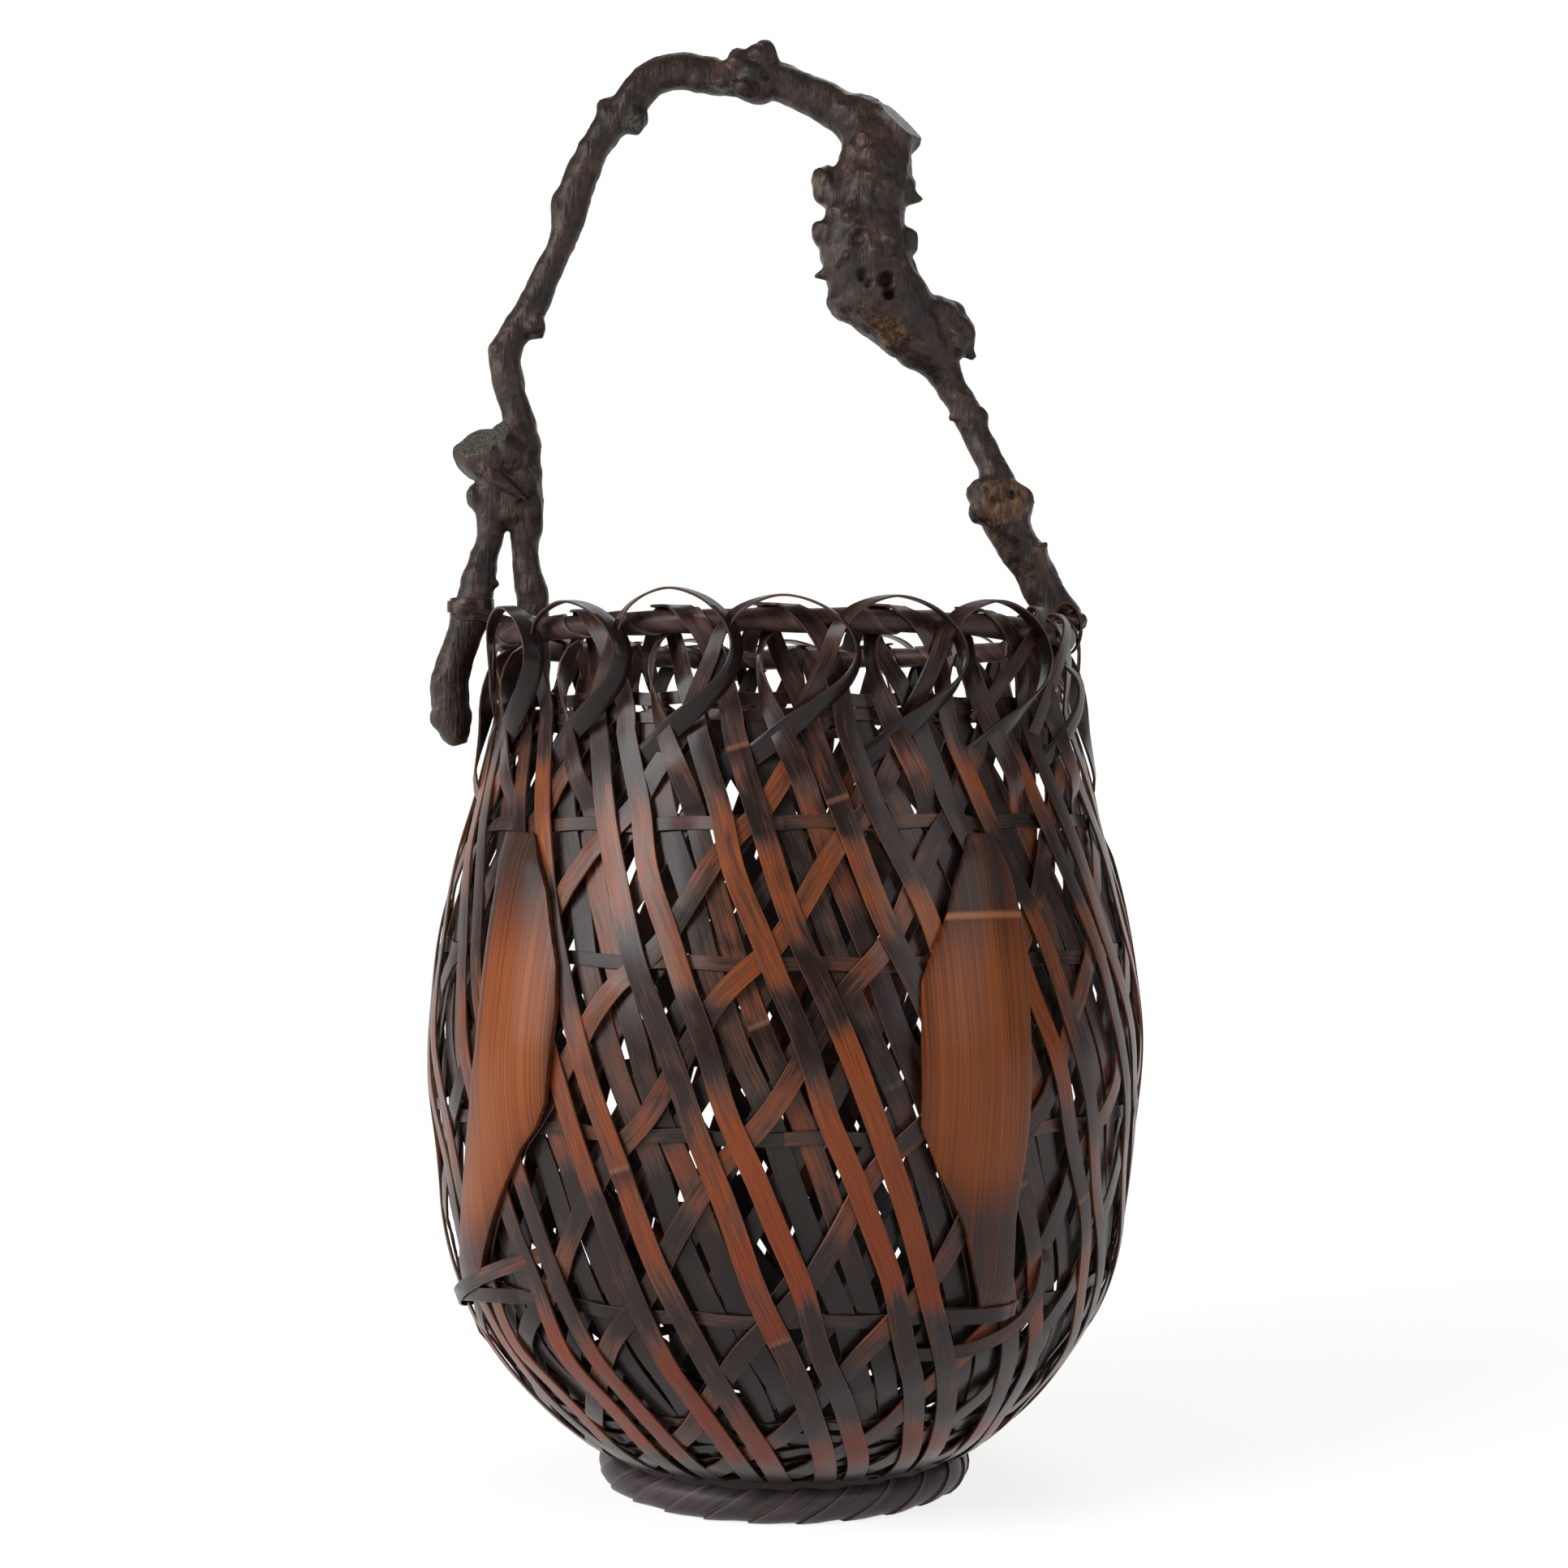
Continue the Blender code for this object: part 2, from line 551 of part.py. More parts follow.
def handle_place(shares):
    """A point of the handle from its shares of the rim's radius and the handle's rise."""
    across, depth, rise = shares[:3]
    return Vector((across * RIM_RADIUS, depth * RIM_RADIUS, RIM_TOP + rise * HANDLE_RISE))


def leg_end():
    """The long leg runs down inside the rim hoop: (place, radius share) of its last points."""
    inside = RIM_RADIUS - RIM_SECTION - SEAT_GAP - LEG_RADIUS_SHARE * STEM_RADIUS
    heights = (RIM_TOP + LEG_STRAIGHT, RIM_TOP, RIM_CENTRE, RIM_CENTRE - LEG_END_DEPTH)
    return [(around(inside, LEG_TURN, height), LEG_RADIUS_SHARE) for height in heights]


def branch_end():
    """The short leg hangs outside the strips at the rim: its last points, down to a blunt tip."""
    seat = STRIP_RIM_RADIUS + STRIP_THICKNESS + LAY_GAP
    outside = seat + BRANCH_SWELL_SHARE * STEM_RADIUS * BRANCH_RADIUS_SHARE
    tip = RIM_CENTRE - BRANCH_END_DEPTH
    lean = outside + BRANCH_SWELL_LEAN
    places = [(outside, RIM_TOP + LEG_STRAIGHT, BRANCH_RADIUS_SHARE),
              (outside, RIM_CENTRE, BRANCH_RADIUS_SHARE),
              (lean, (RIM_CENTRE + tip) / 2, BRANCH_RADIUS_SHARE * BRANCH_SWELL_SHARE),
              (lean, tip + 2 * STEM_RADIUS, BRANCH_RADIUS_SHARE),
              (lean - BRANCH_SWELL_LEAN / 2, tip, BRANCH_TIP_RADIUS_SHARE)]
    return [(around(radius, BRANCH_TURN, height), share) for radius, height, share in places]


def tube(name, places):
    """A branch through (place, radius share) points, as a closed mesh."""
    curve = bpy.data.curves.new(name, "CURVE")
    curve.dimensions = "3D"
    curve.bevel_depth = STEM_RADIUS
    curve.bevel_resolution = STEM_SIDES
    curve.resolution_u = STEM_STEPS
    curve.use_fill_caps = True
    spline = curve.splines.new("BEZIER")
    spline.bezier_points.add(len(places) - 1)
    for point, (place, share) in zip(spline.bezier_points, places):
        point.co = place
        point.radius = share
        point.handle_left_type = point.handle_right_type = "AUTO"
    drawn = bpy.data.objects.new(f"{name}_line", curve)
    bpy.context.scene.collection.objects.link(drawn)
    bpy.context.view_layer.update()
    mesh = bpy.data.meshes.new_from_object(drawn.evaluated_get(bpy.context.evaluated_depsgraph_get()))
    builder = bmesh.new()
    builder.from_mesh(mesh)
    bmesh.ops.remove_doubles(builder, verts=builder.verts, dist=MERGE)
    made = mesh_from(builder, name)
    made.matrix_world = drawn.matrix_world
    bpy.data.objects.remove(drawn)
    return made


def lump(name, place, sizes):
    """A rounded swelling of three half sizes."""
    builder = bmesh.new()
    shape = Matrix.Translation(place) @ Matrix.Diagonal((*sizes, 1))
    bmesh.ops.create_icosphere(builder, subdivisions=KNOT_STEPS, radius=1, matrix=shape)
    return mesh_from(builder, name)


def knot_place(shares):
    """A knot's middle, from the point of the branch that it grows on."""
    rows, row = shares[0]
    return handle_place(rows[row]) + STEM_RADIUS * Vector(shares[1:4])


def make_handle():
    """The forked branch: the arch and its long leg, the short leg, knots, and the foot's toe."""
    stem = [(handle_place(shares), shares[3]) for shares in STEM_SHARES] + leg_end()
    handle = tube("handle_branch", stem)
    branch = [(handle_place(shares), shares[3]) for shares in BRANCH_SHARES] + branch_end()
    boolean(handle, as_tool(tube("short_leg_guide", branch)), "UNION")
    for number, shares in enumerate(KNOT_SHARES, 1):
        sizes = [share * STEM_RADIUS for share in shares[4:]]
        boolean(handle, as_tool(lump(f"knot_guide_{number}", knot_place(shares), sizes)), "UNION")
    toe = lump("toe_guide", Vector((RIM_RADIUS, 0, RIM_TOP + SEAT_GAP)),
               (TOE_HALF_WIDTH, TOE_HALF_LENGTH, TOE_HALF_HEIGHT))
    boolean(handle, as_tool(toe), "UNION")
    low = Vector((0, -RIM_RADIUS / 2, RIM_CENTRE - CUT_OVERRUN))
    high = Vector((2 * RIM_RADIUS, RIM_RADIUS / 2, RIM_TOP + SEAT_GAP))
    boolean(handle, cut_box("foot_seat_cut", low, high), "DIFFERENCE")
    finish(handle, "branch_wood")


def band(name, outline, half_width, placing):
    """A flat strip bent into a closed outline, standing half_width either side of its plane."""
    curve = bpy.data.curves.new(name, "CURVE")
    curve.dimensions = "2D"
    curve.fill_mode = "NONE"
    curve.extrude = half_width
    spline = curve.splines.new("POLY")
    spline.points.add(len(outline) - 1)
    spline.use_cyclic_u = True
    for point, (across, up) in zip(spline.points, outline):
        point.co = (across, up, 0, 1)
    drawn = bpy.data.objects.new(f"{name}_line", curve)
    bpy.context.scene.collection.objects.link(drawn)
    bpy.context.view_layer.update()
    mesh = bpy.data.meshes.new_from_object(drawn.evaluated_get(bpy.context.evaluated_depsgraph_get()))
    builder = bmesh.new()
    builder.from_mesh(mesh)
    bmesh.ops.remove_doubles(builder, verts=builder.verts, dist=MERGE)
    bmesh.ops.recalc_face_normals(builder, faces=builder.faces)
    made = mesh_from(builder, name)
    bpy.data.objects.remove(drawn)
    made.matrix_world = placing
    solidify(made, LASHING_THICKNESS, 0)
    return finish(made, "winding_bamboo")


def oval_round(first, second, radius_first, radius_second):
    """Points round two circles, as a strip pulled tight round both would lie."""
    axis = second - first
    lean = math.atan2(axis.y, axis.x)
    tilt = math.asin((radius_first - radius_second) / axis.length)
    half = LASHING_POINTS // 2
    points = []
    for middle, radius, side in ((first, radius_first, 1), (second, radius_second, -1)):
        start = lean + side * (math.pi / 2 - tilt)
        sweep = math.pi + side * 2 * tilt
        for step in range(half):
            angle = start + sweep * step / (half - 1)
            points.append((middle.x + radius * math.cos(angle), middle.y + radius * math.sin(angle)))
    return points


def make_lashings():
    """One lashing round both left legs above the rim, and two round the hoop and the foot's toe."""
    height = RIM_TOP + LEFT_LASHING_ABOVE_RIM
    clear = LAY_GAP + LASHING_THICKNESS
    long_leg = around(RIM_RADIUS - RIM_SECTION - SEAT_GAP - LEG_RADIUS_SHARE * STEM_RADIUS, LEG_TURN, 0)
    seat = STRIP_RIM_RADIUS + STRIP_THICKNESS + LAY_GAP
    short_leg = around(seat + BRANCH_SWELL_SHARE * STEM_RADIUS * BRANCH_RADIUS_SHARE, BRANCH_TURN, 0)
    outline = oval_round(long_leg, short_leg, LEG_RADIUS_SHARE * STEM_RADIUS + clear,
                         BRANCH_RADIUS_SHARE * STEM_RADIUS + clear)
    band("lashing_left", outline, LASHING_WIDTH / 2, Matrix.Translation((0, 0, height)))
    half_up = (RIM_TOP + SEAT_GAP + TOE_HALF_HEIGHT - RIM_CENTRE + RIM_SECTION) / 2 + clear
    half_out = RIM_SECTION + clear
    middle = RIM_CENTRE - RIM_SECTION - clear + half_up
    points = [(half_out * math.cos(TURN * step / LASHING_POINTS),
               half_up * math.sin(TURN * step / LASHING_POINTS)) for step in range(LASHING_POINTS)]
    for word, side in (("front", -1), ("rear", 1)):
        turn = side * LASHING_OFFSET / RIM_RADIUS
        placing = (Matrix.Translation(around(RIM_RADIUS, HANDLE_TURN + turn, middle))
                   @ Matrix.Rotation(turn, 4, "Z") @ Matrix.Rotation(math.pi / 2, 4, "X"))
        band(f"lashing_right_{word}", points, LASHING_WIDTH / 2, placing)


clear_scene()
make_foot()
make_rim()
make_wall()
make_hoops()
make_pairs()
make_loops()
make_slats()
make_handle()
make_lashings()
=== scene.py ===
"""Ikebana basket of smoked bamboo with a branch handle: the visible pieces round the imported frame.

Laid out as an add-on and run as a script. Metres, +Z up, the basket's front faces -Y.
"""

import math
import random

import bpy
import numpy as np
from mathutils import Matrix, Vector


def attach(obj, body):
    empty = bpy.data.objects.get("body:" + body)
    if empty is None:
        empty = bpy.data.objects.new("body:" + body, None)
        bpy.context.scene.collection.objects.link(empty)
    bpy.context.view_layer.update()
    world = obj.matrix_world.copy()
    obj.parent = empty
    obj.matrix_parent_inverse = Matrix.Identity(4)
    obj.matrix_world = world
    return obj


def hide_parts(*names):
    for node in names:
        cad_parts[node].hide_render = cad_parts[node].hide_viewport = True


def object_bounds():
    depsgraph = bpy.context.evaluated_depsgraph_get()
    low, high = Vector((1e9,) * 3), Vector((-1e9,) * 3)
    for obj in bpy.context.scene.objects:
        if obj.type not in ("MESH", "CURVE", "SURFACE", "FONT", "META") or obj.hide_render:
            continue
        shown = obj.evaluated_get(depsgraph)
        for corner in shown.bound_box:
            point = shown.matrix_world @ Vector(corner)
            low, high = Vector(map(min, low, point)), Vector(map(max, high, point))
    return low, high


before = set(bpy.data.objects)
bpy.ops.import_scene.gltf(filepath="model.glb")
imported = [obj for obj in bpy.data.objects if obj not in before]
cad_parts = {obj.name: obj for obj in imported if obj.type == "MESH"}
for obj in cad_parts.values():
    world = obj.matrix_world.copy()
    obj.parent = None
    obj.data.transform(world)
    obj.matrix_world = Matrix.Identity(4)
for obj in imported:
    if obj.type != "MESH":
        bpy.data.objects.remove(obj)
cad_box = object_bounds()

bl_info = {
    "name": "Ikebana basket",
    "version": (1, 0, 0),
    "blender": (4, 5, 0),
    "location": "View3D > Sidebar > Basket",
    "description": "Builds a smoked bamboo flower basket with a branch handle",
    "category": "Add Mesh",
}

MM = 0.001
TURN = 2 * math.pi
BODY = "root"

# Hoops as the frame has them: (radius, radius of the section, height of the middle)
FOOT_HOOP = (51.5 * MM, 5.5 * MM, 5 * MM)
RIM_HOOP = (86 * MM, 3.7 * MM, 256.3 * MM)
HOOP_HEIGHTS = (66.8 * MM, 116.6 * MM, 164 * MM, 201.5 * MM, 233.4 * MM)
# The height where the outer pairs leave the wall for the rim, and the belly's radius
WALL_TOP = 226 * MM
BELLY_RADIUS = 107 * MM
# How far the layers of the weave lie off the wall's face, from the pairs to the strips behind
OUTER_LIFT = -0.35 * MM
RISING_LIFT = -1.6 * MM
HOOP_LIFT = -2.4 * MM
INNER_LIFT = -3.1 * MM
REAR_LIFT = -4.1 * MM
# Pairs and loops stand at one pitch; the first pair and the first loop are turned this far from the front
PITCHES = 18
PITCH = TURN / PITCHES
PAIR_TURN = math.radians(16)
LOOP_TURN = math.radians(0.5)
WINDINGS = 24
# How far round the strips of a pair turn over their run from the foot to the rim
STRIP_TWIST = math.radians(57)
RUN_TO_RIM = 275.2 * MM
# Where the handle's legs stand, and how far from them the loops keep
HANDLE_LEGS = (math.radians(90), math.radians(-91))
LEG_CLEARANCE = math.radians(17)
# Heights between which strips darken towards the foot, a painted shade where they pass behind the foot ring,
# and towards the rim, and lose their amber low down, which on the layers behind is painted shade
FOOT_SHADE = (13 * MM, 24 * MM)
RIM_SHADE = (211 * MM, 227 * MM)
LOW_SHADE = (30 * MM, 130 * MM)
# The distance from a strip's node is counted no further than this
NODE_REACH = 50 * MM
# Edges sharper than this are softened
SHARP_EDGE = math.radians(50)
# Steps along the longer strips
WALL_STEPS = 90
HOOP_STEPS = 240
BASE_STEPS = 48
STRAP_STEPS = 96

# (radius, height) in mm of the outer strips' face, foot to rim
PROFILE = (
    (46, 11.5), (54, 11.7), (60.5, 13.2), (69, 19.2), (76, 26), (88, 40.4), (97.6, 55.5), (104.2, 79.5),
    (107.2, 105.5), (109.6, 130.6), (108.2, 149.6), (103.4, 177.6), (95.0, 210.6), (88.6, 236.8),
    (90.2, 247), (90.9, 257),
)


def smooth(points, per_span=8):
    """A smooth line through control points, as an array: the same columns, more rows."""
    points = np.asarray(points, float)
    padded = np.vstack([2 * points[0] - points[1], points, 2 * points[-1] - points[-2]])
    rows = []
    shares = np.linspace(0, 1, per_span, endpoint=False)[:, None]
    for a, b, c, d in zip(padded, padded[1:], padded[2:], padded[3:]):
        rows.append(0.5 * (2 * b + (c - a) * shares + (2 * a - 5 * b + 4 * c - d) * shares ** 2
                           + (3 * b - a - 3 * c + d) * shares ** 3))
    return np.vstack(rows + [points[-1:]])


def unit(vectors):
    return vectors / np.maximum(np.linalg.norm(vectors, axis=1, keepdims=True), 1e-12)


def ease(value, low, high):
    """0 up to low, 1 from high on, and a smooth rise between them."""
    share = np.clip((value - low) / (high - low), 0, 1)
    return share * share * (3 - 2 * share)


class Wall:
    """The body's outer face as a turned profile, measured along its run from the foot."""
    line = smooth(PROFILE) * MM
    run = np.concatenate([[0], np.cumsum(np.linalg.norm(np.diff(line, axis=0), axis=1))])
    slope = unit(np.gradient(line, run, axis=0))
    # The run from which the pairs turn
    start = float(np.interp(12.5 * MM, line[:, 1], run))

    @classmethod
    def at_height(cls, height):
        return np.interp(height, cls.line[:, 1], cls.run)

    @classmethod
    def radius(cls, run):
        return np.interp(run, cls.run, cls.line[:, 0])

    @classmethod
    def height(cls, run):
        return np.interp(run, cls.run, cls.line[:, 1])

    @classmethod
    def points(cls, run, angle, lift):
        """Points over the wall, and the wall's outward direction there."""
        upward = -np.interp(run, cls.run, cls.slope[:, 0])
        outward = around(np.interp(run, cls.run, cls.slope[:, 1]), angle, upward)
        base = around(cls.radius(run), angle, cls.height(run))
        return base + outward * np.asarray(lift).reshape(-1, 1), outward


def around(radius, angle, height):
    """Places at angles round the basket's axis, counted from the front towards +X."""
    return np.stack([radius * np.sin(angle), -radius * np.cos(angle), height], axis=1)


def outward_at(angle):
    """Level directions away from the basket's axis."""
    return around(np.ones(len(angle)), angle, np.zeros(len(angle)))


def seeded(context, group, number=0):
    """A seeded source of small differences, another one for each group and piece."""
    return random.Random(context.scene.basket_look.seed * group + number)


def deselect():
    bpy.ops.object.select_all(action="DESELECT")


def make_active(made):
    deselect()
    made.select_set(True)
    bpy.context.view_layer.objects.active = made


def apply_modifiers(made):
    make_active(made)
    for step in list(made.modifiers):
        bpy.ops.object.modifier_apply(modifier=step.name)


def vertex_places(mesh):
    places = np.empty(len(mesh.vertices) * 3)
    mesh.vertices.foreach_get("co", places)
    return places.reshape(-1, 3)


def set_places(mesh, places):
    mesh.vertices.foreach_set("co", places.ravel())
    mesh.update()


def set_attribute(mesh, name, values):
    attribute = mesh.attributes.get(name) or mesh.attributes.new(name, "FLOAT", "POINT")
    attribute.data.foreach_set("value", np.asarray(values, np.float32))


def set_map(mesh, along, across, shift):
    """The piece's own map in metres, along and across it. The shift gives each piece other fibres."""
    corner = np.empty(len(mesh.loops), np.int32)
    mesh.loops.foreach_get("vertex_index", corner)
    mapped = np.stack([along[corner] + shift[0], across[corner] + shift[1]], axis=1)
    mesh.uv_layers[0].data.foreach_set("uv", mapped.ravel().astype(np.float32))


def thicken(made, thickness, edge, segments=1):
    """Give a sheet its wall, below its outer face, and its softened edges."""
    wall = made.modifiers.new("wall", "SOLIDIFY")
    wall.thickness = thickness
    wall.offset = -1
    soften = made.modifiers.new("soften", "BEVEL")
    soften.width = edge
    soften.segments = segments
    soften.limit_method = "ANGLE"
    soften.angle_limit = SHARP_EDGE
    apply_modifiers(made)


def flat_strip(name, steps, width, thickness, rows=3, crown=0.0, edge=0.12 * MM):
    """A flat strip one metre long, split from bamboo: a grid, a wall and softened edges.
    Its outer face lies at z = 0, and it is wrapped over its place afterwards."""
    deselect()
    bpy.ops.mesh.primitive_grid_add(x_subdivisions=steps, y_subdivisions=rows, size=1)
    made = bpy.context.object
    made.name = name
    places = vertex_places(made.data)
    places[:, 0] += 0.5
    places[:, 2] = -crown * (2 * places[:, 1]) ** 2
    places[:, 1] *= width
    set_places(made.data, places)
    thicken(made, thickness, edge)
    places = vertex_places(made.data)
    set_attribute(made.data, "across", places[:, 1] / (width / 2))
    set_attribute(made.data, "tone", np.zeros(len(places)))
    set_attribute(made.data, "from_node", np.full(len(places), NODE_REACH))
    return made


def follow(points, outward, widths=None):
    """How a flat strip is bent along points with its face turned outward."""
    steps = np.linalg.norm(np.diff(points, axis=0), axis=1)
    run = np.concatenate([[0], np.cumsum(steps)])
    share = run / run[-1]
    tangent = unit(np.gradient(points, run, axis=0))
    side = unit(np.cross(outward, tangent))
    face = np.cross(tangent, side)
    widths = np.ones(len(points)) if widths is None else widths

    def place(flat):
        def at(values):
            return np.stack([np.interp(flat[:, 0], share, column) for column in values.T], axis=1)
        across = flat[:, 1] * np.interp(flat[:, 0], share, widths)
        return at(points) + across[:, None] * at(side) + flat[:, 2:3] * at(face)
    return place, run[-1]


def tone_line(dice, length, richness=1.0):
    """Smoke patches along a strip: (places in metres, 0 dark to 1 amber)."""
    places = np.linspace(0, length, 160)
    tone = np.zeros_like(places)
    at = dice.uniform(-50, 30) * MM
    while at < length:
        long = dice.uniform(36, 95) * MM
        strong = dice.uniform(0.6, 1.05) * richness
        sharp = dice.uniform(6, 13) * MM
        soft = dice.uniform(14, 30) * MM
        if dice.random() < 0.5:
            sharp, soft = soft, sharp
        rise = np.clip((places - at) / sharp, 0, 1)
        fall = np.clip((at + long - places) / soft, 0, 1)
        tone = np.maximum(tone, strong * rise * rise * (3 - 2 * rise) * fall * fall * (3 - 2 * fall))
        at += long + dice.uniform(8, 42) * MM
    return places, tone


def lay_strip(template, name, place, length, dice, richness=1.0, spot=None, toning=None, low=0.0):
    """A copy of a flat strip wrapped over its place, with its tone, its own map and a node at its
    spot, if it has one. It is dark near the rim, and painted shade darkens it near the foot; it is less
    amber at the basket's sides. Toning adds to its tone by the share of the way along it, and low takes
    from it towards the foot, a painted shade for the layers that lie behind."""
    made = template.copy()
    made.data = template.data.copy()
    made.name = made.data.name = name
    bpy.context.scene.collection.objects.link(made)
    flat = vertex_places(made.data)
    along = flat[:, 0] * length
    tone = np.interp(along, *tone_line(dice, length, richness))
    added = 0 if toning is None else toning(flat[:, 0])
    if spot is not None:
        # A node stands 0.6 mm proud of the outer face and is a tenth wider
        away = along - spot
        set_attribute(made.data, "from_node", np.clip(away, -NODE_REACH, NODE_REACH))
        swell = np.exp(-(away / (1.6 * MM)) ** 2)
        flat[:, 2] += np.where(flat[:, 2] > -0.3 * MM, 0.6 * MM * swell, 0)
        flat[:, 1] *= 1 + 0.1 * swell
    shift = dice.uniform(0, 3)
    set_map(made.data, along, flat[:, 1], (shift, shift * 0.37))
    placed = place(flat)
    height = placed[:, 2]
    # Painted shade: the strip darkens just above the foot ring, where it passes behind it
    foot = 1 - ease(height, *FOOT_SHADE)
    facing = 0.72 + 0.28 * np.cos(2 * np.arctan2(placed[:, 0], -placed[:, 1]) - 0.2)
    tone = tone * facing * (1 - 0.9 * ease(height, *RIM_SHADE)) + added
    # Low takes amber and brightness towards the foot: painted shade on the layers that lie behind
    tone = tone * (1 - 0.6 * foot) - 0.5 * foot - low * (1 - ease(height, *LOW_SHADE))
    set_attribute(made.data, "tone", tone)
    set_places(made.data, placed)
    return made


def join(pieces, name):
    """Several pieces as one object at the origin."""
    deselect()
    for piece in pieces:
        piece.select_set(True)
    bpy.context.view_layer.objects.active = pieces[0]
    if len(pieces) > 1:
        bpy.ops.object.join()
    made = bpy.context.view_layer.objects.active
    made.name = made.data.name = name
    return made


def finish_piece(made, material, slot, *nodes):
    """Give a piece its material, its smooth sides, its body and the nodes that it stands for."""
    made.data.materials.clear()
    made.data.materials.append(material)
    make_active(made)
    bpy.ops.object.shade_smooth_by_angle(angle=math.radians(40))
    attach(made, BODY)
    if nodes:
        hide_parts(*nodes)
    return made


def remove(*pieces):
    for piece in pieces:
        bpy.data.objects.remove(piece)


# Materials

def linear(hex_colour):
    """An sRGB hex colour as linear values."""
    parts = [int(hex_colour[at:at + 2], 16) / 255 for at in (1, 3, 5)]
    return (*(part / 12.92 if part <= 0.04045 else ((part + 0.055) / 1.055) ** 2.4 for part in parts), 1.0)


def node(tree, kind, inputs=None, stops=(), **settings):
    """Add a node with its settings and the (place, colour) stops of its ramp. An input is given a
    value or another node's output."""
    made = tree.nodes.new(kind)
    for key, value in settings.items():
        setattr(made, key, value)
    for key, value in (inputs or {}).items():
        if isinstance(value, bpy.types.NodeSocket):
            tree.links.new(value, made.inputs[key])
        else:
            made.inputs[key].default_value = value
    while len(stops) > 2 and len(made.color_ramp.elements) < len(stops):
        made.color_ramp.elements.new(0.5)
    for at, (place, colour) in enumerate(stops):
        made.color_ramp.elements[at].position = place
        made.color_ramp.elements[at].color = colour
    return made


def new_material(name):
    material = bpy.data.materials.get(name) or bpy.data.materials.new(name)
    material.use_nodes = True
    material.node_tree.nodes.clear()
    return material, material.node_tree


def grain(tree, place, scale, detail, dimensions="2D"):
    """Fibres or clouds: a noise with this many waves a metre along, across and through the piece."""
    drawn = node(tree, "ShaderNodeMapping", {0: place, "Scale": scale}).outputs[0]
    return node(tree, "ShaderNodeTexNoise", {"Vector": drawn, "Scale": 1.0, "Detail": detail},
                noise_dimensions=dimensions).outputs[0]


def unsettle(tree, tone, *patterns):
    """A tone with patterns added to it, each round its middle value and with its own strength."""
    for pattern, strength in patterns:
        apart = node(tree, "ShaderNodeMath", {0: pattern, 1: 0.5}, operation="SUBTRACT").outputs[0]
        tone = node(tree, "ShaderNodeMath", {0: apart, 1: strength, 2: tone},
                    operation="MULTIPLY_ADD").outputs[0]
    return tone


# In a Mix node of colours, input 0 is the factor, 6 and 7 are the colours and output 2 is the result

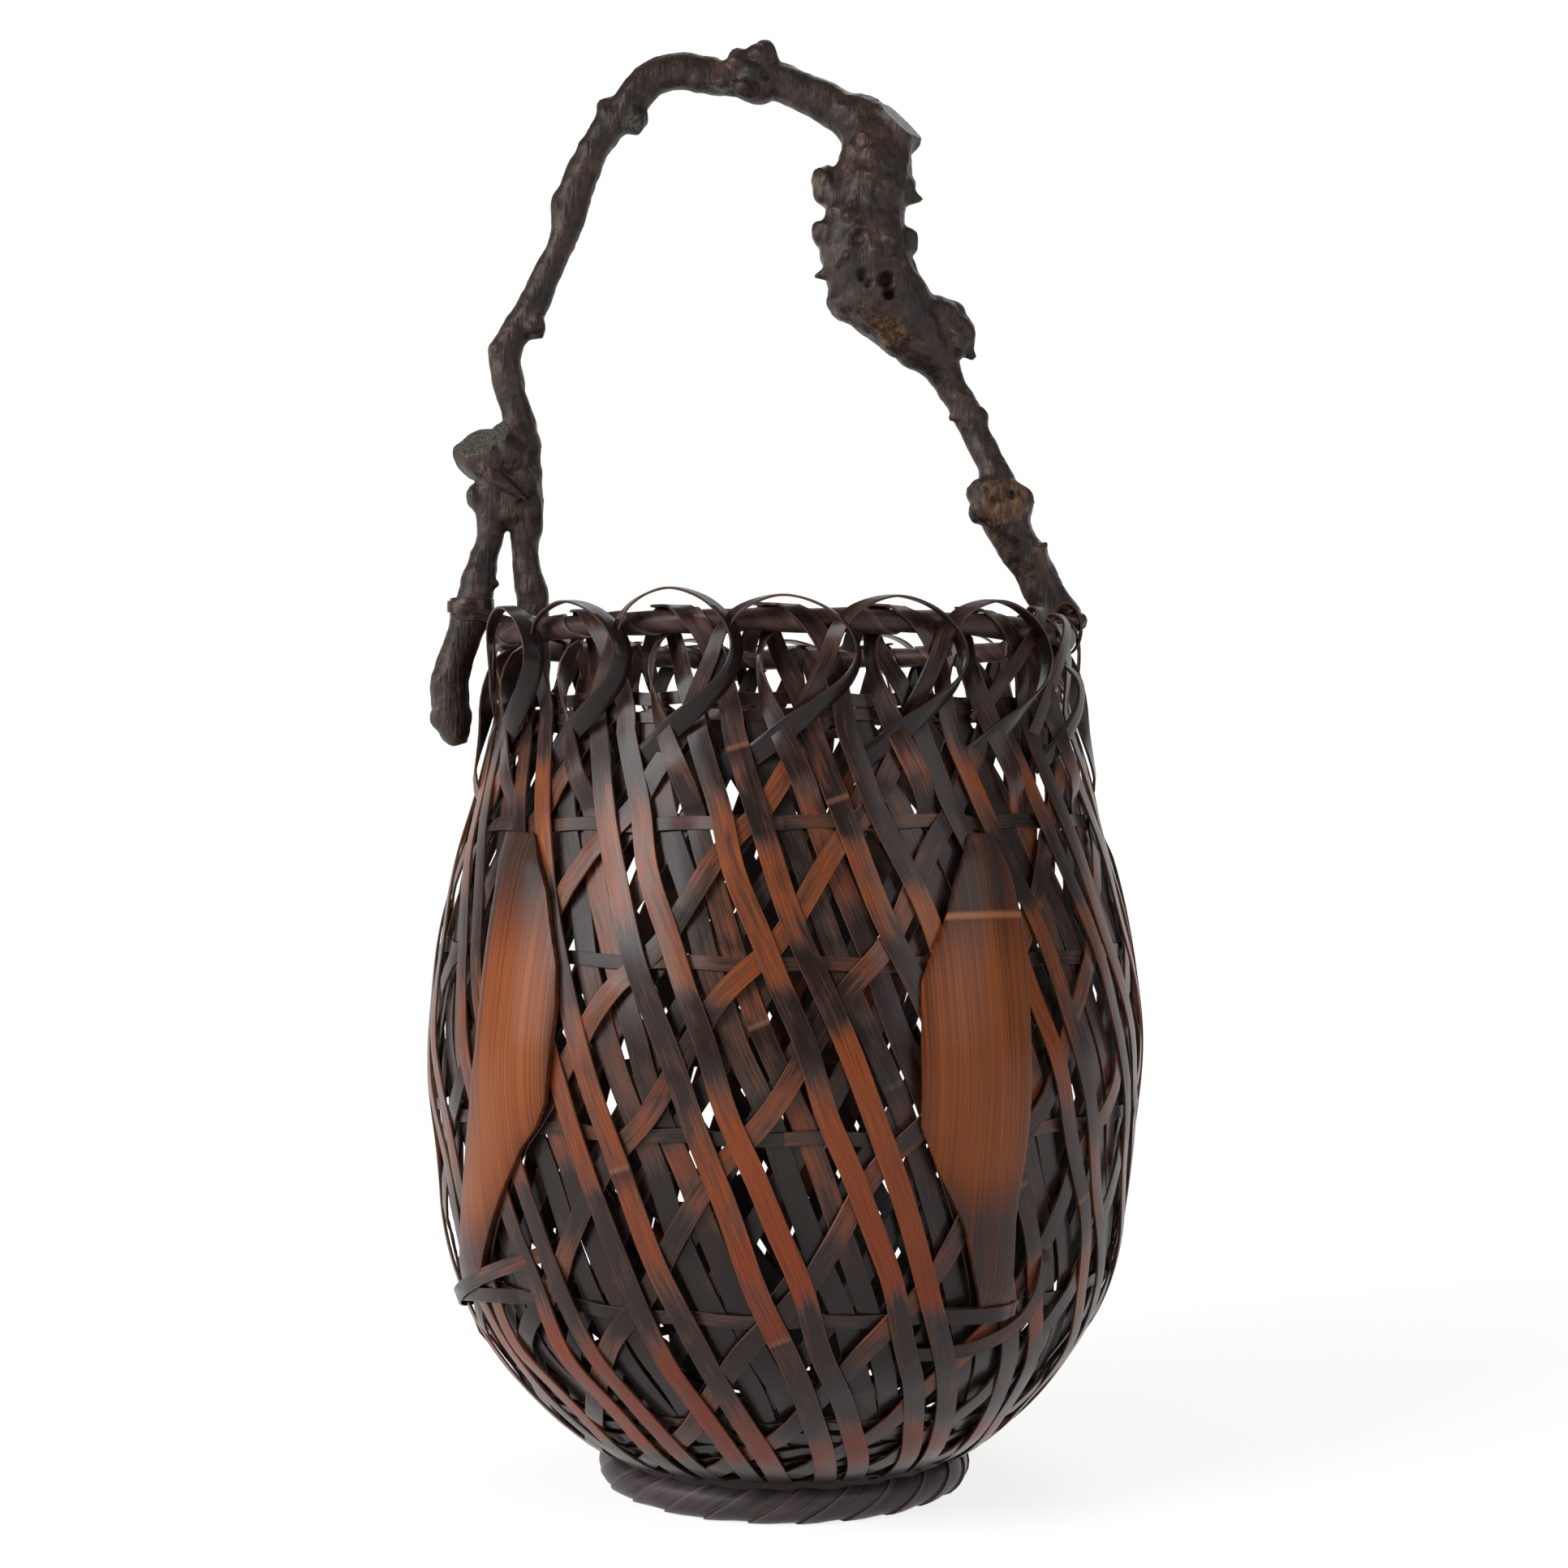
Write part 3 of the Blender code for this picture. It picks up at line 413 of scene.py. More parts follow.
def strip_material(name, dark, middle, amber, deep, edge, gloss=0.36):
    """Smoked bamboo skin under lacquer, split and shaved. Smoke leaves grey-brown lengths that
    fade into amber ones. The fibres run along the strip. The shaved edges are paler, partly the cut wood
    and partly a painted highlight where they catch the light, and the nodes' ridges carry a painted
    highlight.
    Tone below zero darkens it, which carries painted shade."""
    material, tree = new_material(name)
    uv = node(tree, "ShaderNodeUVMap", uv_map="UVMap").outputs[0]
    # Fibre bundles are 0.25 mm wide; drawn 0.6 mm wide so that they show
    fibre = grain(tree, uv, (70, 1700, 1), 3.0)
    # Clouds of smoke, about 11 mm long and 4 mm wide
    cloud = grain(tree, uv, (90, 260, 1), 2.0)
    tone, across, away = (node(tree, "ShaderNodeAttribute", attribute_name=held).outputs["Fac"]
                          for held in ("tone", "across", "from_node"))
    # Tone below zero darkens the colour, down to 0.35: it carries the painted shade near the foot and on the
    # layers behind, and the loops' darker back
    deepened = node(tree, "ShaderNodeMapRange", {
        "Value": tone, "From Min": -1.0, "From Max": 0.0, "To Min": 0.35}).outputs[0]
    tone = unsettle(tree, tone, (cloud, 0.75), (fibre, 0.45))
    # The amber turns redder from 150 mm above the table down to 30 mm
    place = node(tree, "ShaderNodeTexCoord").outputs["Object"]
    height = node(tree, "ShaderNodeSeparateXYZ", {0: place}).outputs[2]
    low = node(tree, "ShaderNodeMapRange", {
        "Value": height, "From Min": 30 * MM, "From Max": 150 * MM, "To Min": 1.0, "To Max": 0.0}).outputs[0]
    warm = node(tree, "ShaderNodeMix", {0: low, 6: amber, 7: deep}, data_type="RGBA").outputs[2]
    share = node(tree, "ShaderNodeValToRGB", {0: tone},
                 [(0.24, (0, 0, 0, 1)), (0.80, (1, 1, 1, 1))]).outputs[0]
    base = node(tree, "ShaderNodeValToRGB", {0: tone}, [(0.0, dark), (0.38, middle)]).outputs[0]
    colour = node(tree, "ShaderNodeMix", {0: share, 6: base, 7: warm}, data_type="RGBA").outputs[2]
    # A burnt band up to 7 mm long ends at each node
    band = node(tree, "ShaderNodeMapRange", {
        "Value": away, "From Min": -7 * MM, "From Max": -2 * MM}).outputs[0]
    band_end = node(tree, "ShaderNodeMapRange", {
        "Value": away, "From Min": -0.6 * MM, "From Max": 0.2 * MM, "To Min": 1.0, "To Max": 0.0}).outputs[0]
    for other in (band_end, 0.7):
        band = node(tree, "ShaderNodeMath", {0: band, 1: other}, operation="MULTIPLY").outputs[0]
    colour = node(tree, "ShaderNodeMix", {0: band, 6: colour, 7: linear("#2b1512")},
                  data_type="RGBA").outputs[2]
    # The node's ridge is paler as a painted highlight, and both shaved edges are paler, partly the cut wood
    # and partly a painted highlight
    ridge = node(tree, "ShaderNodeMath", {0: away}, operation="ABSOLUTE").outputs[0]
    ridge = node(tree, "ShaderNodeMapRange", {
        "Value": ridge, "From Min": 0.3 * MM, "From Max": 1.1 * MM, "To Min": 0.6, "To Max": 0.0}).outputs[0]
    rim = node(tree, "ShaderNodeMath", {0: across}, operation="ABSOLUTE").outputs[0]
    rim = node(tree, "ShaderNodeMapRange", {
        "Value": rim, "From Min": 0.88, "From Max": 1.0, "To Max": 0.28}).outputs[0]
    rim = node(tree, "ShaderNodeMath", {0: rim, 1: ridge}, operation="MAXIMUM").outputs[0]
    colour = node(tree, "ShaderNodeMix", {0: rim, 6: colour, 7: edge}, data_type="RGBA").outputs[2]
    shade = node(tree, "ShaderNodeMapRange", {
        "Value": fibre, "From Min": 0.25, "From Max": 0.75, "To Min": 0.66, "To Max": 1.26}).outputs[0]
    shade = node(tree, "ShaderNodeMath", {0: shade, 1: deepened}, operation="MULTIPLY").outputs[0]
    colour = node(tree, "ShaderNodeMix", {0: 1.0, 6: colour, 7: shade}, data_type="RGBA",
                  blend_type="MULTIPLY").outputs[2]
    rough = node(tree, "ShaderNodeMapRange", {
        "Value": cloud, "From Min": 0.2, "From Max": 0.8, "To Min": gloss - 0.08, "To Max": gloss + 0.14})
    bump = node(tree, "ShaderNodeBump", {"Height": fibre, "Strength": 0.35, "Distance": 0.12 * MM})
    bamboo = node(tree, "ShaderNodeBsdfPrincipled", {
        "Base Color": colour, "Roughness": rough.outputs[0], "Normal": bump.outputs[0], "IOR": 1.45,
        "Specular IOR Level": 0.2, "Coat Weight": 0.26, "Coat Roughness": 0.2})
    node(tree, "ShaderNodeOutputMaterial", {"Surface": bamboo.outputs[0]})
    return material


def winding_material(name, dark, light):
    """Flat smoked bamboo peeled thin and wound wet. It dries dull grey-brown with fine fibres, and
    its edges are paler, partly the cut wood and partly a painted highlight where they catch the light."""
    material, tree = new_material(name)
    uv = node(tree, "ShaderNodeUVMap", uv_map="UVMap").outputs[0]
    # Fibres drawn 0.7 mm wide so that they show, and clouds about 17 mm long and 7 mm wide
    fibre = grain(tree, uv, (45, 1400, 1), 3.0)
    cloud = grain(tree, uv, (60, 150, 1), 2.0)
    mixed = node(tree, "ShaderNodeMath", {0: fibre, 1: cloud}, operation="ADD").outputs[0]
    mixed = node(tree, "ShaderNodeMath", {0: mixed, 1: 0.5}, operation="MULTIPLY").outputs[0]
    colour = node(tree, "ShaderNodeValToRGB", {0: mixed}, [(0.32, dark), (0.68, light)]).outputs[0]
    # Paler edges: partly the cut wood, partly a painted highlight
    across = node(tree, "ShaderNodeAttribute", attribute_name="across").outputs["Fac"]
    rim = node(tree, "ShaderNodeMath", {0: across}, operation="ABSOLUTE").outputs[0]
    rim = node(tree, "ShaderNodeMapRange", {
        "Value": rim, "From Min": 0.84, "From Max": 1.0, "To Max": 0.6}).outputs[0]
    colour = node(tree, "ShaderNodeMix", {0: rim, 6: colour, 7: linear("#776460")},
                  data_type="RGBA").outputs[2]
    rough = node(tree, "ShaderNodeMapRange", {
        "Value": cloud, "From Min": 0.2, "From Max": 0.8, "To Min": 0.34, "To Max": 0.56})
    bump = node(tree, "ShaderNodeBump", {"Height": fibre, "Strength": 0.4, "Distance": 0.15 * MM})
    bamboo = node(tree, "ShaderNodeBsdfPrincipled", {
        "Base Color": colour, "Roughness": rough.outputs[0], "Normal": bump.outputs[0], "IOR": 1.45,
        "Specular IOR Level": 0.3, "Coat Weight": 0.06, "Coat Roughness": 0.3})
    node(tree, "ShaderNodeOutputMaterial", {"Surface": bamboo.outputs[0]})
    return material


def slat_material(name, core, glow, end):
    """Bamboo culm wall, smoked and lacquered. Straight vertical fibres, amber in the middle of
    each slat, darker towards the sides and burnt dark at both ends."""
    material, tree = new_material(name)
    uv = node(tree, "ShaderNodeUVMap", uv_map="UVMap").outputs[0]
    # Culm fibres are 0.5 mm apart, and broader streaks 4 mm
    fibre = grain(tree, uv, (10, 1900, 1), 4.0)
    broad = grain(tree, uv, (9, 240, 1), 2.0)
    tone, away = (node(tree, "ShaderNodeAttribute", attribute_name=held).outputs["Fac"]
                  for held in ("tone", "from_node"))
    tone = unsettle(tree, tone, (broad, 0.7), (fibre, 0.7))
    colour = node(tree, "ShaderNodeValToRGB", {0: tone}, [(0.05, end), (0.5, core), (1.0, glow)]).outputs[0]
    shade = node(tree, "ShaderNodeMapRange", {
        "Value": fibre, "From Min": 0.25, "From Max": 0.75, "To Min": 0.72, "To Max": 1.2}).outputs[0]
    colour = node(tree, "ShaderNodeMix", {0: 1.0, 6: colour, 7: shade}, data_type="RGBA",
                  blend_type="MULTIPLY").outputs[2]
    # The node's ridge is painted pale, a painted highlight
    ridge = node(tree, "ShaderNodeMath", {0: away}, operation="ABSOLUTE").outputs[0]
    ridge = node(tree, "ShaderNodeMapRange", {
        "Value": ridge, "From Min": 0.3 * MM, "From Max": 1.3 * MM, "To Min": 0.75, "To Max": 0.0}).outputs[0]
    colour = node(tree, "ShaderNodeMix", {0: ridge, 6: colour, 7: linear("#b87850")},
                  data_type="RGBA").outputs[2]
    rough = node(tree, "ShaderNodeMapRange", {
        "Value": broad, "From Min": 0.2, "From Max": 0.8, "To Min": 0.34, "To Max": 0.46})
    bump = node(tree, "ShaderNodeBump", {"Height": fibre, "Strength": 0.4, "Distance": 0.12 * MM})
    bamboo = node(tree, "ShaderNodeBsdfPrincipled", {
        "Base Color": colour, "Roughness": rough.outputs[0], "Normal": bump.outputs[0], "IOR": 1.45,
        "Specular IOR Level": 0.25, "Coat Weight": 0.14, "Coat Roughness": 0.2})
    node(tree, "ShaderNodeOutputMaterial", {"Surface": bamboo.outputs[0]})
    return material


def branch_material(name, dark, bark, sheen, pores, cut, torn):
    """Old vine or root wood, stripped of bark, stained near black and waxed. Raised swellings carry a painted
    sheen of paler grey and are glossier, sawn faces are olive grey, and torn wood shows golden brown."""
    material, tree = new_material(name)
    place = node(tree, "ShaderNodeTexCoord").outputs["Object"]
    # Bark swells every 8 mm, and its grain runs 1 to 3 mm wide along the branch
    coarse = node(tree, "ShaderNodeTexNoise", {
        "Vector": place, "Scale": 120.0, "Detail": 6.0, "Roughness": 0.62}).outputs[0]
    fine = grain(tree, place, (900, 900, 160), 4.0, "3D")
    # The raised parts of the noise, which the bump also raises, take the paler sheen colour: a painted sheen
    colour = node(tree, "ShaderNodeValToRGB", {0: coarse},
                  [(0.34, dark), (0.56, bark), (0.76, sheen)]).outputs[0]
    shade = node(tree, "ShaderNodeMapRange", {
        "Value": fine, "From Min": 0.3, "From Max": 0.7, "To Min": 0.7, "To Max": 1.25}).outputs[0]
    colour = node(tree, "ShaderNodeMix", {0: 1.0, 6: colour, 7: shade}, data_type="RGBA",
                  blend_type="MULTIPLY").outputs[2]
    sawn, open_wood = (node(tree, "ShaderNodeAttribute", attribute_name=held).outputs["Fac"]
                       for held in ("sawn", "torn"))
    fibres = node(tree, "ShaderNodeValToRGB", {0: fine}, [(0.40, bark), (0.70, torn)]).outputs[0]
    patchy = node(tree, "ShaderNodeMath", {0: coarse, 1: 2.6, 2: open_wood},
                  operation="MULTIPLY_ADD").outputs[0]
    patchy = node(tree, "ShaderNodeMapRange", {
        "Value": patchy, "From Min": 1.86, "From Max": 2.2}).outputs[0]
    colour = node(tree, "ShaderNodeMix", {0: patchy, 6: colour, 7: fibres}, data_type="RGBA").outputs[2]
    # Open pores of a sawn face are under 1 mm wide
    rings = grain(tree, place, (1500, 1500, 300), 2.0, "3D")
    sawn_colour = node(tree, "ShaderNodeValToRGB", {0: rings}, [(0.35, pores), (0.62, cut)]).outputs[0]
    colour = node(tree, "ShaderNodeMix", {0: sawn, 6: colour, 7: sawn_colour}, data_type="RGBA").outputs[2]
    rough = node(tree, "ShaderNodeMapRange", {
        "Value": coarse, "From Min": 0.3, "From Max": 0.7, "To Min": 0.58, "To Max": 0.30})
    height = node(tree, "ShaderNodeMath", {0: coarse, 1: 1.4, 2: fine}, operation="MULTIPLY_ADD").outputs[0]
    bump = node(tree, "ShaderNodeBump", {"Height": height, "Strength": 0.8, "Distance": 0.9 * MM})
    wood = node(tree, "ShaderNodeBsdfPrincipled", {
        "Base Color": colour, "Roughness": rough.outputs[0], "Normal": bump.outputs[0], "IOR": 1.45,
        "Specular IOR Level": 0.35, "Coat Weight": 0.12, "Coat Roughness": 0.25})
    node(tree, "ShaderNodeOutputMaterial", {"Surface": wood.outputs[0]})
    return material


def smoked_strips():
    """Strips on the outside: glossy, grey-brown and amber in turn, and redder low on the body."""
    look = bpy.context.scene.basket_look
    return strip_material("Smoked bamboo strip, lacquered", dark=linear("#2b1c19"), middle=look.smoked[:],
                          amber=look.amber[:], deep=linear("#862e0b"), edge=linear("#8c6249"))


def dark_strips():
    """Strips behind the others: dark, partly as painted shade where they lie behind, and duller with less
    lacquer.
    """
    return strip_material("Smoked bamboo strip, dark side", dark=linear("#2a1f1b"),
                          middle=linear("#4d3c35"), amber=linear("#6e3a20"), deep=linear("#5a240e"),
                          edge=linear("#5c4538"), gloss=0.42)


def foot_winding():
    """The foot's winding: rubbed on tables for years, it is grey."""
    return winding_material("Peeled bamboo winding, smoked grey", dark=linear("#2c2527"),
                            light=linear("#574b4d"))


def rim_winding():
    """The rim's winding: it keeps the smoke's brown."""
    return winding_material("Peeled bamboo winding, smoked brown", dark=linear("#2c1b19"),
                            light=linear("#59403a"))


def culm():
    """The slats: warm amber wood under a thin gloss, the brightest part of the basket."""
    return slat_material("Bamboo culm slat, smoked and lacquered", core=linear("#733816"),
                         glow=bpy.context.scene.basket_look.slat[:], end=linear("#35251e"))


def branch_wood():
    """The handle: near black, with a dull wax shine and a painted grey sheen on its raised swellings."""
    return branch_material("Stained root wood, waxed", dark=linear("#17100c"),
                           bark=bpy.context.scene.basket_look.branch[:], sheen=linear("#624a3d"),
                           pores=linear("#2b2a25"), cut=linear("#605b51"), torn=linear("#7d5a3a"))


# Sizes and colours that a user would change

class BasketSizes(bpy.types.PropertyGroup):
    outer_width: bpy.props.FloatProperty(
        name="Outer strip width", description="Width of the strips of the outer pairs",
        default=6.1 * MM, unit="LENGTH")
    inner_width: bpy.props.FloatProperty(
        name="Inner strip width", description="Width of the darker strips between the pairs",
        default=6.2 * MM, unit="LENGTH")
    rising_width: bpy.props.FloatProperty(
        name="Rising strip width", description="Width of the strips that cross the pairs",
        default=5.9 * MM, unit="LENGTH")
    thickness: bpy.props.FloatProperty(
        name="Strip thickness", description="Thickness of a shaved strip",
        default=0.75 * MM, unit="LENGTH")
    pair_spacing: bpy.props.FloatProperty(
        name="Pair spacing", description="Distance between the two strips of a pair at the belly",
        default=11.2 * MM, unit="LENGTH")
    loop_width: bpy.props.FloatProperty(
        name="Loop width", description="Width of the strips bent over the rim",
        default=4.6 * MM, unit="LENGTH")


def tint(name, description, hex_colour):
    """A colour that a user may change."""
    return bpy.props.FloatVectorProperty(name=name, description=description, subtype="COLOR", size=4,
                                         min=0, max=1, default=linear(hex_colour))


class BasketLook(bpy.types.PropertyGroup):
    seed: bpy.props.IntProperty(
        name="Seed", description="Start of the small differences between strips", default=7)
    smoked: tint("Smoked strip", "Lengths of the outer strips that the smoke darkened", "#5e3d31")
    amber: tint("Amber strip", "Lengths of the outer strips that stay amber", "#914a22")
    slat: tint("Slat", "Middle of the slats", "#984f1e")
    branch: tint("Branch", "Waxed wood of the handle", "#3a2820")
    floor: tint("Floor", "Floor and backdrop", "#b4b2b0")


def wobble(dice, run, size):
    """A slow seeded wander, in metres, along a strip's run."""
    long = dice.uniform(55 * MM, 140 * MM)
    short = long * dice.uniform(0.45, 0.6)
    first, second = dice.uniform(0, TURN), dice.uniform(0, TURN)
    return size * (0.75 * np.sin(run / long * TURN + first) + 0.35 * np.sin(run / short * TURN + second))


def pair_angle(number, run):
    """Angle of an outer pair's middle at a run from the wall's foot."""
    return PAIR_TURN + number * PITCH - (run - Wall.start) / RUN_TO_RIM * STRIP_TWIST


def pair_phase(angle, run):
    """Where an angle lies between pairs at a run: 0 on a pair, 0.5 midway."""
    phase = (angle - pair_angle(0, run)) / PITCH
    return np.abs(phase - np.round(phase))


def loop_beside(angle, back):
    """The angle of the loop whose top is nearest to a place some degrees back from an angle."""
    return LOOP_TURN + PITCH * round((angle - math.radians(back) - LOOP_TURN) / PITCH)


# Ways over the rim: (degrees from a loop's top, height, radius, turn of the face in degrees), in mm
OVER_HOOP = (
    (9.9, 233, 88.9, 0), (8.2, 243, 90.2, 0), (6.1, 251, 90.9, 0), (3.0, 257.6, 89.6, 35),
    (-0.8, 260.9, 86.3, 90), (-4.6, 258.6, 82.6, 150), (-6.6, 253.5, 81.1, 180), (-7.8, 248, 81.2, 180),
)
BEHIND_HOOP = (
    (3.2, 232, 88.2, 0), (1.0, 240, 86.6, 0), (-1.2, 247, 82.4, -8), (-3.0, 254, 81.2, 0),
    (-4.4, 259.5, 82.4, 40), (-5.2, 261.3, 85.2, 85),
)
BOW = (
    (2.2, 214, 95.4, 0), (0.2, 221, 94.2, -4), (-1.8, 228, 92.6, -22), (-3.7, 235, 91.2, -52),
    (-5.0, 242, 89.6, -72), (-5.0, 248, 87.4, -70), (-4.0, 252.2, 84.4, -45), (-2.6, 255.5, 81.6, -10),
    (-1.4, 259, 81.3, 0),
)


def rim_rows(rows, start=0.0):
    """A way over the rim from a start angle on, as rows of (angle, radius, height, turn)."""
    return [(start + math.radians(turn), radius * MM, height * MM, math.radians(tilt))
            for turn, height, radius, tilt in rows]


def over_rim(rows, per_span, towards="up"):
    """A line through such rows, and how its face looks: outward, turned up, round the rim or
    edge-on."""
    angle, radius, height, tilt = smooth(rows, per_span).T
    points = around(radius, angle, height)
    outward = outward_at(angle)
    if towards == "up":
        other = np.array([0, 0, 1.0])
    elif towards == "round":
        other = outward_at(angle + TURN / 4)
    else:
        other = unit(np.cross(outward, unit(np.gradient(points, axis=0))))
    return points, np.cos(tilt)[:, None] * outward + np.sin(tilt)[:, None] * other


class BASKET_OT_outer_pairs(bpy.types.Operator):
    """Outer strips in pairs, each from under the foot over the belly to the rim hoop"""
    bl_idname = "basket.outer_pairs"
    bl_label = "Outer pairs"

    def execute(self, context):
        sizes = context.scene.basket_sizes
        template = flat_strip("outer_template", 84, sizes.outer_width, sizes.thickness, crown=0.12 * MM)
        material = smoked_strips()
        for number in range(PITCHES):
            strips = []
            for side in (-1, 1):
                dice = seeded(context, 1000, number * 2 + side)
                points, outward, widths = outer_line(number, side, dice, sizes)
                place, length = follow(points, outward, widths)
                spot = dice.uniform(0.2, 0.8) * length if dice.random() < 0.45 else None
                strips.append(lay_strip(template, "strip", place, length, dice, spot=spot))
            made = join(strips, f"woven_pair_{number + 1:02d}")
            finish_piece(made, material, "amber_bamboo", f"strip_pair_{number + 1:02d}")
        remove(template)
        return {"FINISHED"}


def outer_line(number, side, dice, sizes):
    """One strip of a pair, foot to rim: (points, outward directions, width shares). The right one
    goes over the rim hoop and down behind it, and the left one goes up behind it."""
    run = np.linspace(0, Wall.at_height(WALL_TOP), WALL_STEPS)
    radius = Wall.radius(run)
    half = sizes.pair_spacing / 2 * np.sqrt(radius / BELLY_RADIUS)
    across = side * half + wobble(dice, run, 0.9 * MM)
    angle = pair_angle(number, run) + across / radius
    lift = OUTER_LIFT + 0.35 * MM * np.sin(run / (46 * MM) * TURN + dice.uniform(0, TURN))
    points, outward = Wall.points(run, angle, lift)
    rows = rim_rows(OVER_HOOP if side > 0 else BEHIND_HOOP, loop_beside(angle[-1], 8))
    above, tilted = over_rim([(angle[-1], radius[-1], Wall.height(run)[-1], 0.0), *rows], 6)
    points = np.vstack([points, above[1:]])
    widths = np.ones(len(points)) * dice.uniform(0.92, 1.06)
    widths[:6] *= np.linspace(0.8, 1, 6)
    widths[len(run):] *= np.linspace(1, 0.82 if side > 0 else 0.6, len(points) - len(run))
    return points, np.vstack([outward, tilted[1:]]), widths


class BASKET_OT_inner_strips(bpy.types.Operator):
    """Darker strips that lie between the pairs, half of them ending in a bow at the rim"""
    bl_idname = "basket.inner_strips"
    bl_label = "Inner strips"

    def execute(self, context):
        sizes = context.scene.basket_sizes
        template = flat_strip("inner_template", 70, sizes.inner_width, sizes.thickness, crown=0.1 * MM)
        straight, bows = [], []
        for number in range(PITCHES):
            for side in (-1, 1):
                dice = seeded(context, 2000, number * 2 + side)
                points, outward, widths = inner_line(number, side, dice)
                place, length = follow(points, outward, widths)
                spot = dice.uniform(0.2, 0.8) * length if dice.random() < 0.3 else None
                # Low darkens these strips towards the foot, a painted shade where they lie behind the pairs
                made = lay_strip(template, "strip", place, length, dice, 0.45 if side < 0 else 0.6, spot,
                                 low=0.85)
                (bows if side > 0 else straight).append(made)
        finish_piece(join(straight, "inner_weave"), dark_strips(), "dark_bamboo", "woven_wall")
        finish_piece(join(bows, "bowed_weave"), smoked_strips(), "amber_bamboo")
        remove(template)
        return {"FINISHED"}


def inner_line(number, side, dice):
    """One strip between two pairs. On the right of each gap it comes up over the loop's end and
    bows out to the left below the rim hoop."""
    run = np.linspace(0, Wall.at_height((207 if side > 0 else 233) * MM), 70)
    radius = Wall.radius(run)
    across = side * 4.3 * MM * np.sqrt(radius / BELLY_RADIUS) + wobble(dice, run, 0.8 * MM)
    angle = pair_angle(number, run) + PITCH / 2 + across / radius
    lift = INNER_LIFT + 0.3 * MM * np.sin(run / (48 * MM) * TURN + dice.uniform(0, TURN))
    points, outward = Wall.points(run, angle, lift)
    widths = np.full(len(points), dice.uniform(0.94, 1.1))
    if side < 0:
        return points, outward, widths
    start = (angle[-1], radius[-1] - 1.6 * MM, Wall.height(run)[-1], 0.0)
    above, tilted = over_rim([start, *rim_rows(BOW, loop_beside(angle[-1], 4))], 6, "round")
    narrower = np.interp(np.arange(len(above) - 1), [0, 18, len(above) - 1], [1, 0.9, 0.75])
    widths = np.concatenate([widths, widths[-1] * narrower])
    return np.vstack([points, above[1:]]), np.vstack([outward, tilted[1:]]), widths


class BASKET_OT_rising_strips(bpy.types.Operator):
    """Strips that cross the pairs as they rise to the right, in two layers"""
    bl_idname = "basket.rising_strips"
    bl_label = "Rising strips"

    def execute(self, context):
        sizes = context.scene.basket_sizes
        template = flat_strip("rising_template", 90, sizes.rising_width, sizes.thickness, crown=0.1 * MM)
        for name, inner in (("rising_weave", False), ("rear_weave", True)):
            strips = []
            for number in range(PITCHES * (2 if inner else 1)):
                dice = seeded(context, 3000, number + 500 * inner)
                points, outward = rising_line(number, dice, inner)
                place, length = follow(points, outward)
                # Low darkens the strips towards the foot, a painted shade that is strongest on the rear layer
                strips.append(lay_strip(template, "strip", place, length, dice, 0.35 if inner else 0.7,
                                        low=1.0 if inner else 0.25))
            finish_piece(join(strips, name), dark_strips() if inner else smoked_strips(),
                         "dark_bamboo" if inner else "amber_bamboo")
        remove(template)
        return {"FINISHED"}


def rising_line(number, dice, inner):
    """One rising strip: 59 degrees steep between hoops, and flatter where it crosses one. An outer
    one comes forward between pairs, and both kinds end behind the rim hoop."""
    run = np.linspace(0, Wall.at_height((234 if inner else 236.5) * MM), 160)
    radius = Wall.radius(run)
    hoops = [Wall.at_height(height) for height in HOOP_HEIGHTS]
    phase = np.interp(run, [hoops[0] - 50 * MM] + hoops, range(-1, len(hoops)))
    near = np.exp(-((phase - np.round(phase)) / 0.17) ** 2)
    flatter = 4 if inner else dice.uniform(12, 17)
    steep = np.radians(59 - flatter * near)
    turn = np.concatenate([[0], np.cumsum(np.diff(run) / (radius[1:] * np.tan(steep[1:])))])
    start = number * PITCH / 2 + PITCH / 4 if inner else number * PITCH
    start += dice.uniform(-0.02, 0.02)
    angle = start + turn + wobble(dice, run, 0.9 * MM) / radius
    if inner:
        lift = REAR_LIFT + 0.2 * MM * np.sin(run / (40 * MM) * TURN)
    else:
        gap = ease(pair_phase(angle, run), 0.20, 0.36)
        high = ease(Wall.height(run), WALL_TOP, 235 * MM)
        lift = RISING_LIFT + 1.0 * MM * gap * (1 - high) - 1.6 * MM * high
    return Wall.points(run, angle, lift)


# The short weft rows above the foot, in mm, and the seam on the foot ring: (radius, height, width share)
WEFT_HEIGHTS = (14.5, 18.5, 23.5, 28.5, 33.5)
FOOT_SEAM = (53.2 * MM, 10.9 * MM, 0.75)


class BASKET_OT_hoops(bpy.types.Operator):
    """Thin hoops round the wall and the short weft rows above the foot"""
    bl_idname = "basket.hoops"
    bl_label = "Hoops"

    def execute(self, context):
        template = flat_strip("hoop_template", HOOP_STEPS, 3.8 * MM, 0.6 * MM, rows=2, edge=0.1 * MM)
        smoked = smoked_strips()
        dark = dark_strips()
        for number, height in enumerate(HOOP_HEIGHTS, 1):
            dice = seeded(context, 4000, number)
            bands = [(height, 1.0)]
            material = dark
            if number == len(HOOP_HEIGHTS):
                # The hoop below the rim is a pair of bands
                bands = [(height + 2.1 * MM, 0.95), (height - 2.0 * MM, 0.8)]
                material = smoked
            made = join([lay_hoop(template, level, share, dice) for level, share in bands], f"band_{number}")
            finish_piece(made, material, "dark_bamboo", f"hoop_{number}")
        dice = seeded(context, 5000)
        rows = [lay_hoop(template, level * MM, 0.85, dice, 0.8 * MM) for level in WEFT_HEIGHTS]
        angle = np.linspace(0, TURN, HOOP_STEPS + 1)
        radius, height, width = (np.full(len(angle), value) for value in FOOT_SEAM)
        place, length = follow(around(radius, angle, height), outward_at(angle), width)
        rows.append(lay_strip(template, "seam", place, length, dice, 0.2))
        finish_piece(join(rows, "foot_weft"), dark, "dark_bamboo")
        remove(template)
        return {"FINISHED"}


